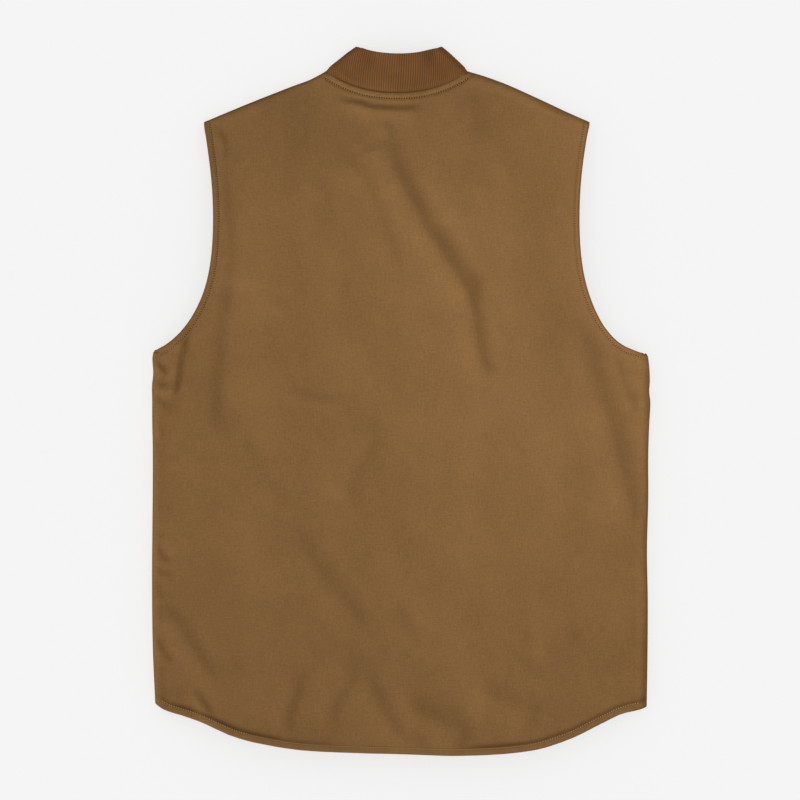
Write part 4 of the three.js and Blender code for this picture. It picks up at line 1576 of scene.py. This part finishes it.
class VEST_OT_stage(Operator):
    """Make the pale floor, the soft light and the camera above the vest"""

    bl_idname = "vest.stage"
    bl_label = "Stage"

    def execute(self, context):
        scene = context.scene
        make_floor(scene.vest_colours)
        make_light(scene, scene.vest_light)
        make_camera(scene)
        return {"FINISHED"}


def make_floor(colours):
    deselect()
    bpy.ops.mesh.primitive_plane_add(size=FLOOR_SIZE, location=(0.0, 0.0, -FLOOR_DROP))
    floor = bpy.context.object
    floor.name = "floor"
    finish = {"Base Color": (*colours.floor, 1.0), "Roughness": 1.0, "Specular IOR Level": 0.0}
    material, _, _ = new_material("pale_floor", finish)
    floor.data.materials.append(material)


def make_light(scene, light):
    world = bpy.data.worlds.new("sky")
    world.use_nodes = True
    background = world.node_tree.nodes["Background"]
    background.inputs["Color"].default_value = (1.0, 1.0, 1.0, 1.0)
    background.inputs["Strength"].default_value = light.sky
    scene.world = world
    on_floor = bpy.data.collections.new("lit_floor")
    on_floor.objects.link(bpy.data.objects["floor"])
    on_vest = bpy.data.collections.new("lit_vest")
    for name in PIECES:
        on_vest.objects.link(bpy.data.objects[name])
    level = math.cos(light.elevation)
    towards = Vector(
        (level * math.sin(light.azimuth), level * math.cos(light.azimuth), math.sin(light.elevation))
    )
    key = new_lamp(scene, "key", "SUN", light.sun, on_vest)
    key.data.angle = light.softness
    key.rotation_euler = towards.to_track_quat("Z", "Y").to_euler()
    overhead = new_lamp(scene, "overhead", "AREA", light.overhead, on_vest)
    overhead.data.size = OVERHEAD_SIZE
    overhead.location = OVERHEAD_PLACE
    new_lamp(scene, "floor_light", "SUN", light.floor, on_floor)
    scene.view_settings.view_transform = "Standard"


def new_lamp(scene, name, kind, energy, lit):
    """A lamp that lights one collection."""
    lamp = bpy.data.lights.new(name, kind)
    lamp.energy = energy
    holder = bpy.data.objects.new(name, lamp)
    holder.light_linking.receiver_collection = lit
    scene.collection.objects.link(holder)
    return holder


def make_camera(scene):
    lens = bpy.data.cameras.new("camera")
    lens.lens = LENS
    lens.sensor_width = SENSOR
    distance = PICTURE_WIDTH * LENS / SENSOR
    camera = bpy.data.objects.new("camera", lens)
    camera.location = (*PICTURE_MIDDLE, PICTURE_HEIGHT + distance)
    lens.clip_end = CAMERA_REACH * distance
    scene.collection.objects.link(camera)
    scene.camera = camera


class VIEW3D_PT_vest(Panel):
    """Lists the vest's pieces and sizes"""

    bl_label = "Duck work vest"
    bl_space_type = "VIEW_3D"
    bl_region_type = "UI"
    bl_category = "Vest"

    def draw(self, context):
        for operator in OPERATORS:
            self.layout.operator(operator.bl_idname)
        for name in SETTINGS:
            group = getattr(context.scene, name)
            box = self.layout.box()
            for prop in group.__annotations__:
                box.prop(group, prop)


SETTINGS = {
    "vest_cloth": VestCloth,
    "vest_ribs": VestRibs,
    "vest_thread": VestThread,
    "vest_colours": VestColours,
    "vest_light": VestLight,
}
OPERATORS = (
    VEST_OT_back,
    VEST_OT_fronts,
    VEST_OT_collar,
    VEST_OT_zip,
    VEST_OT_stitching,
    VEST_OT_stage,
)
CLASSES = (*SETTINGS.values(), *OPERATORS, VIEW3D_PT_vest)


def register():
    for cls in CLASSES:
        bpy.utils.register_class(cls)
    for name, group in SETTINGS.items():
        setattr(bpy.types.Scene, name, PointerProperty(type=group))


def unregister():
    for name in SETTINGS:
        delattr(bpy.types.Scene, name)
    for cls in reversed(CLASSES):
        bpy.utils.unregister_class(cls)


def main():
    register()
    bpy.ops.vest.back()
    bpy.ops.vest.fronts()
    bpy.ops.vest.collar()
    bpy.ops.vest.zip()
    bpy.ops.vest.stitching()
    bpy.ops.vest.stage()


if __name__ == "__main__":
    main()
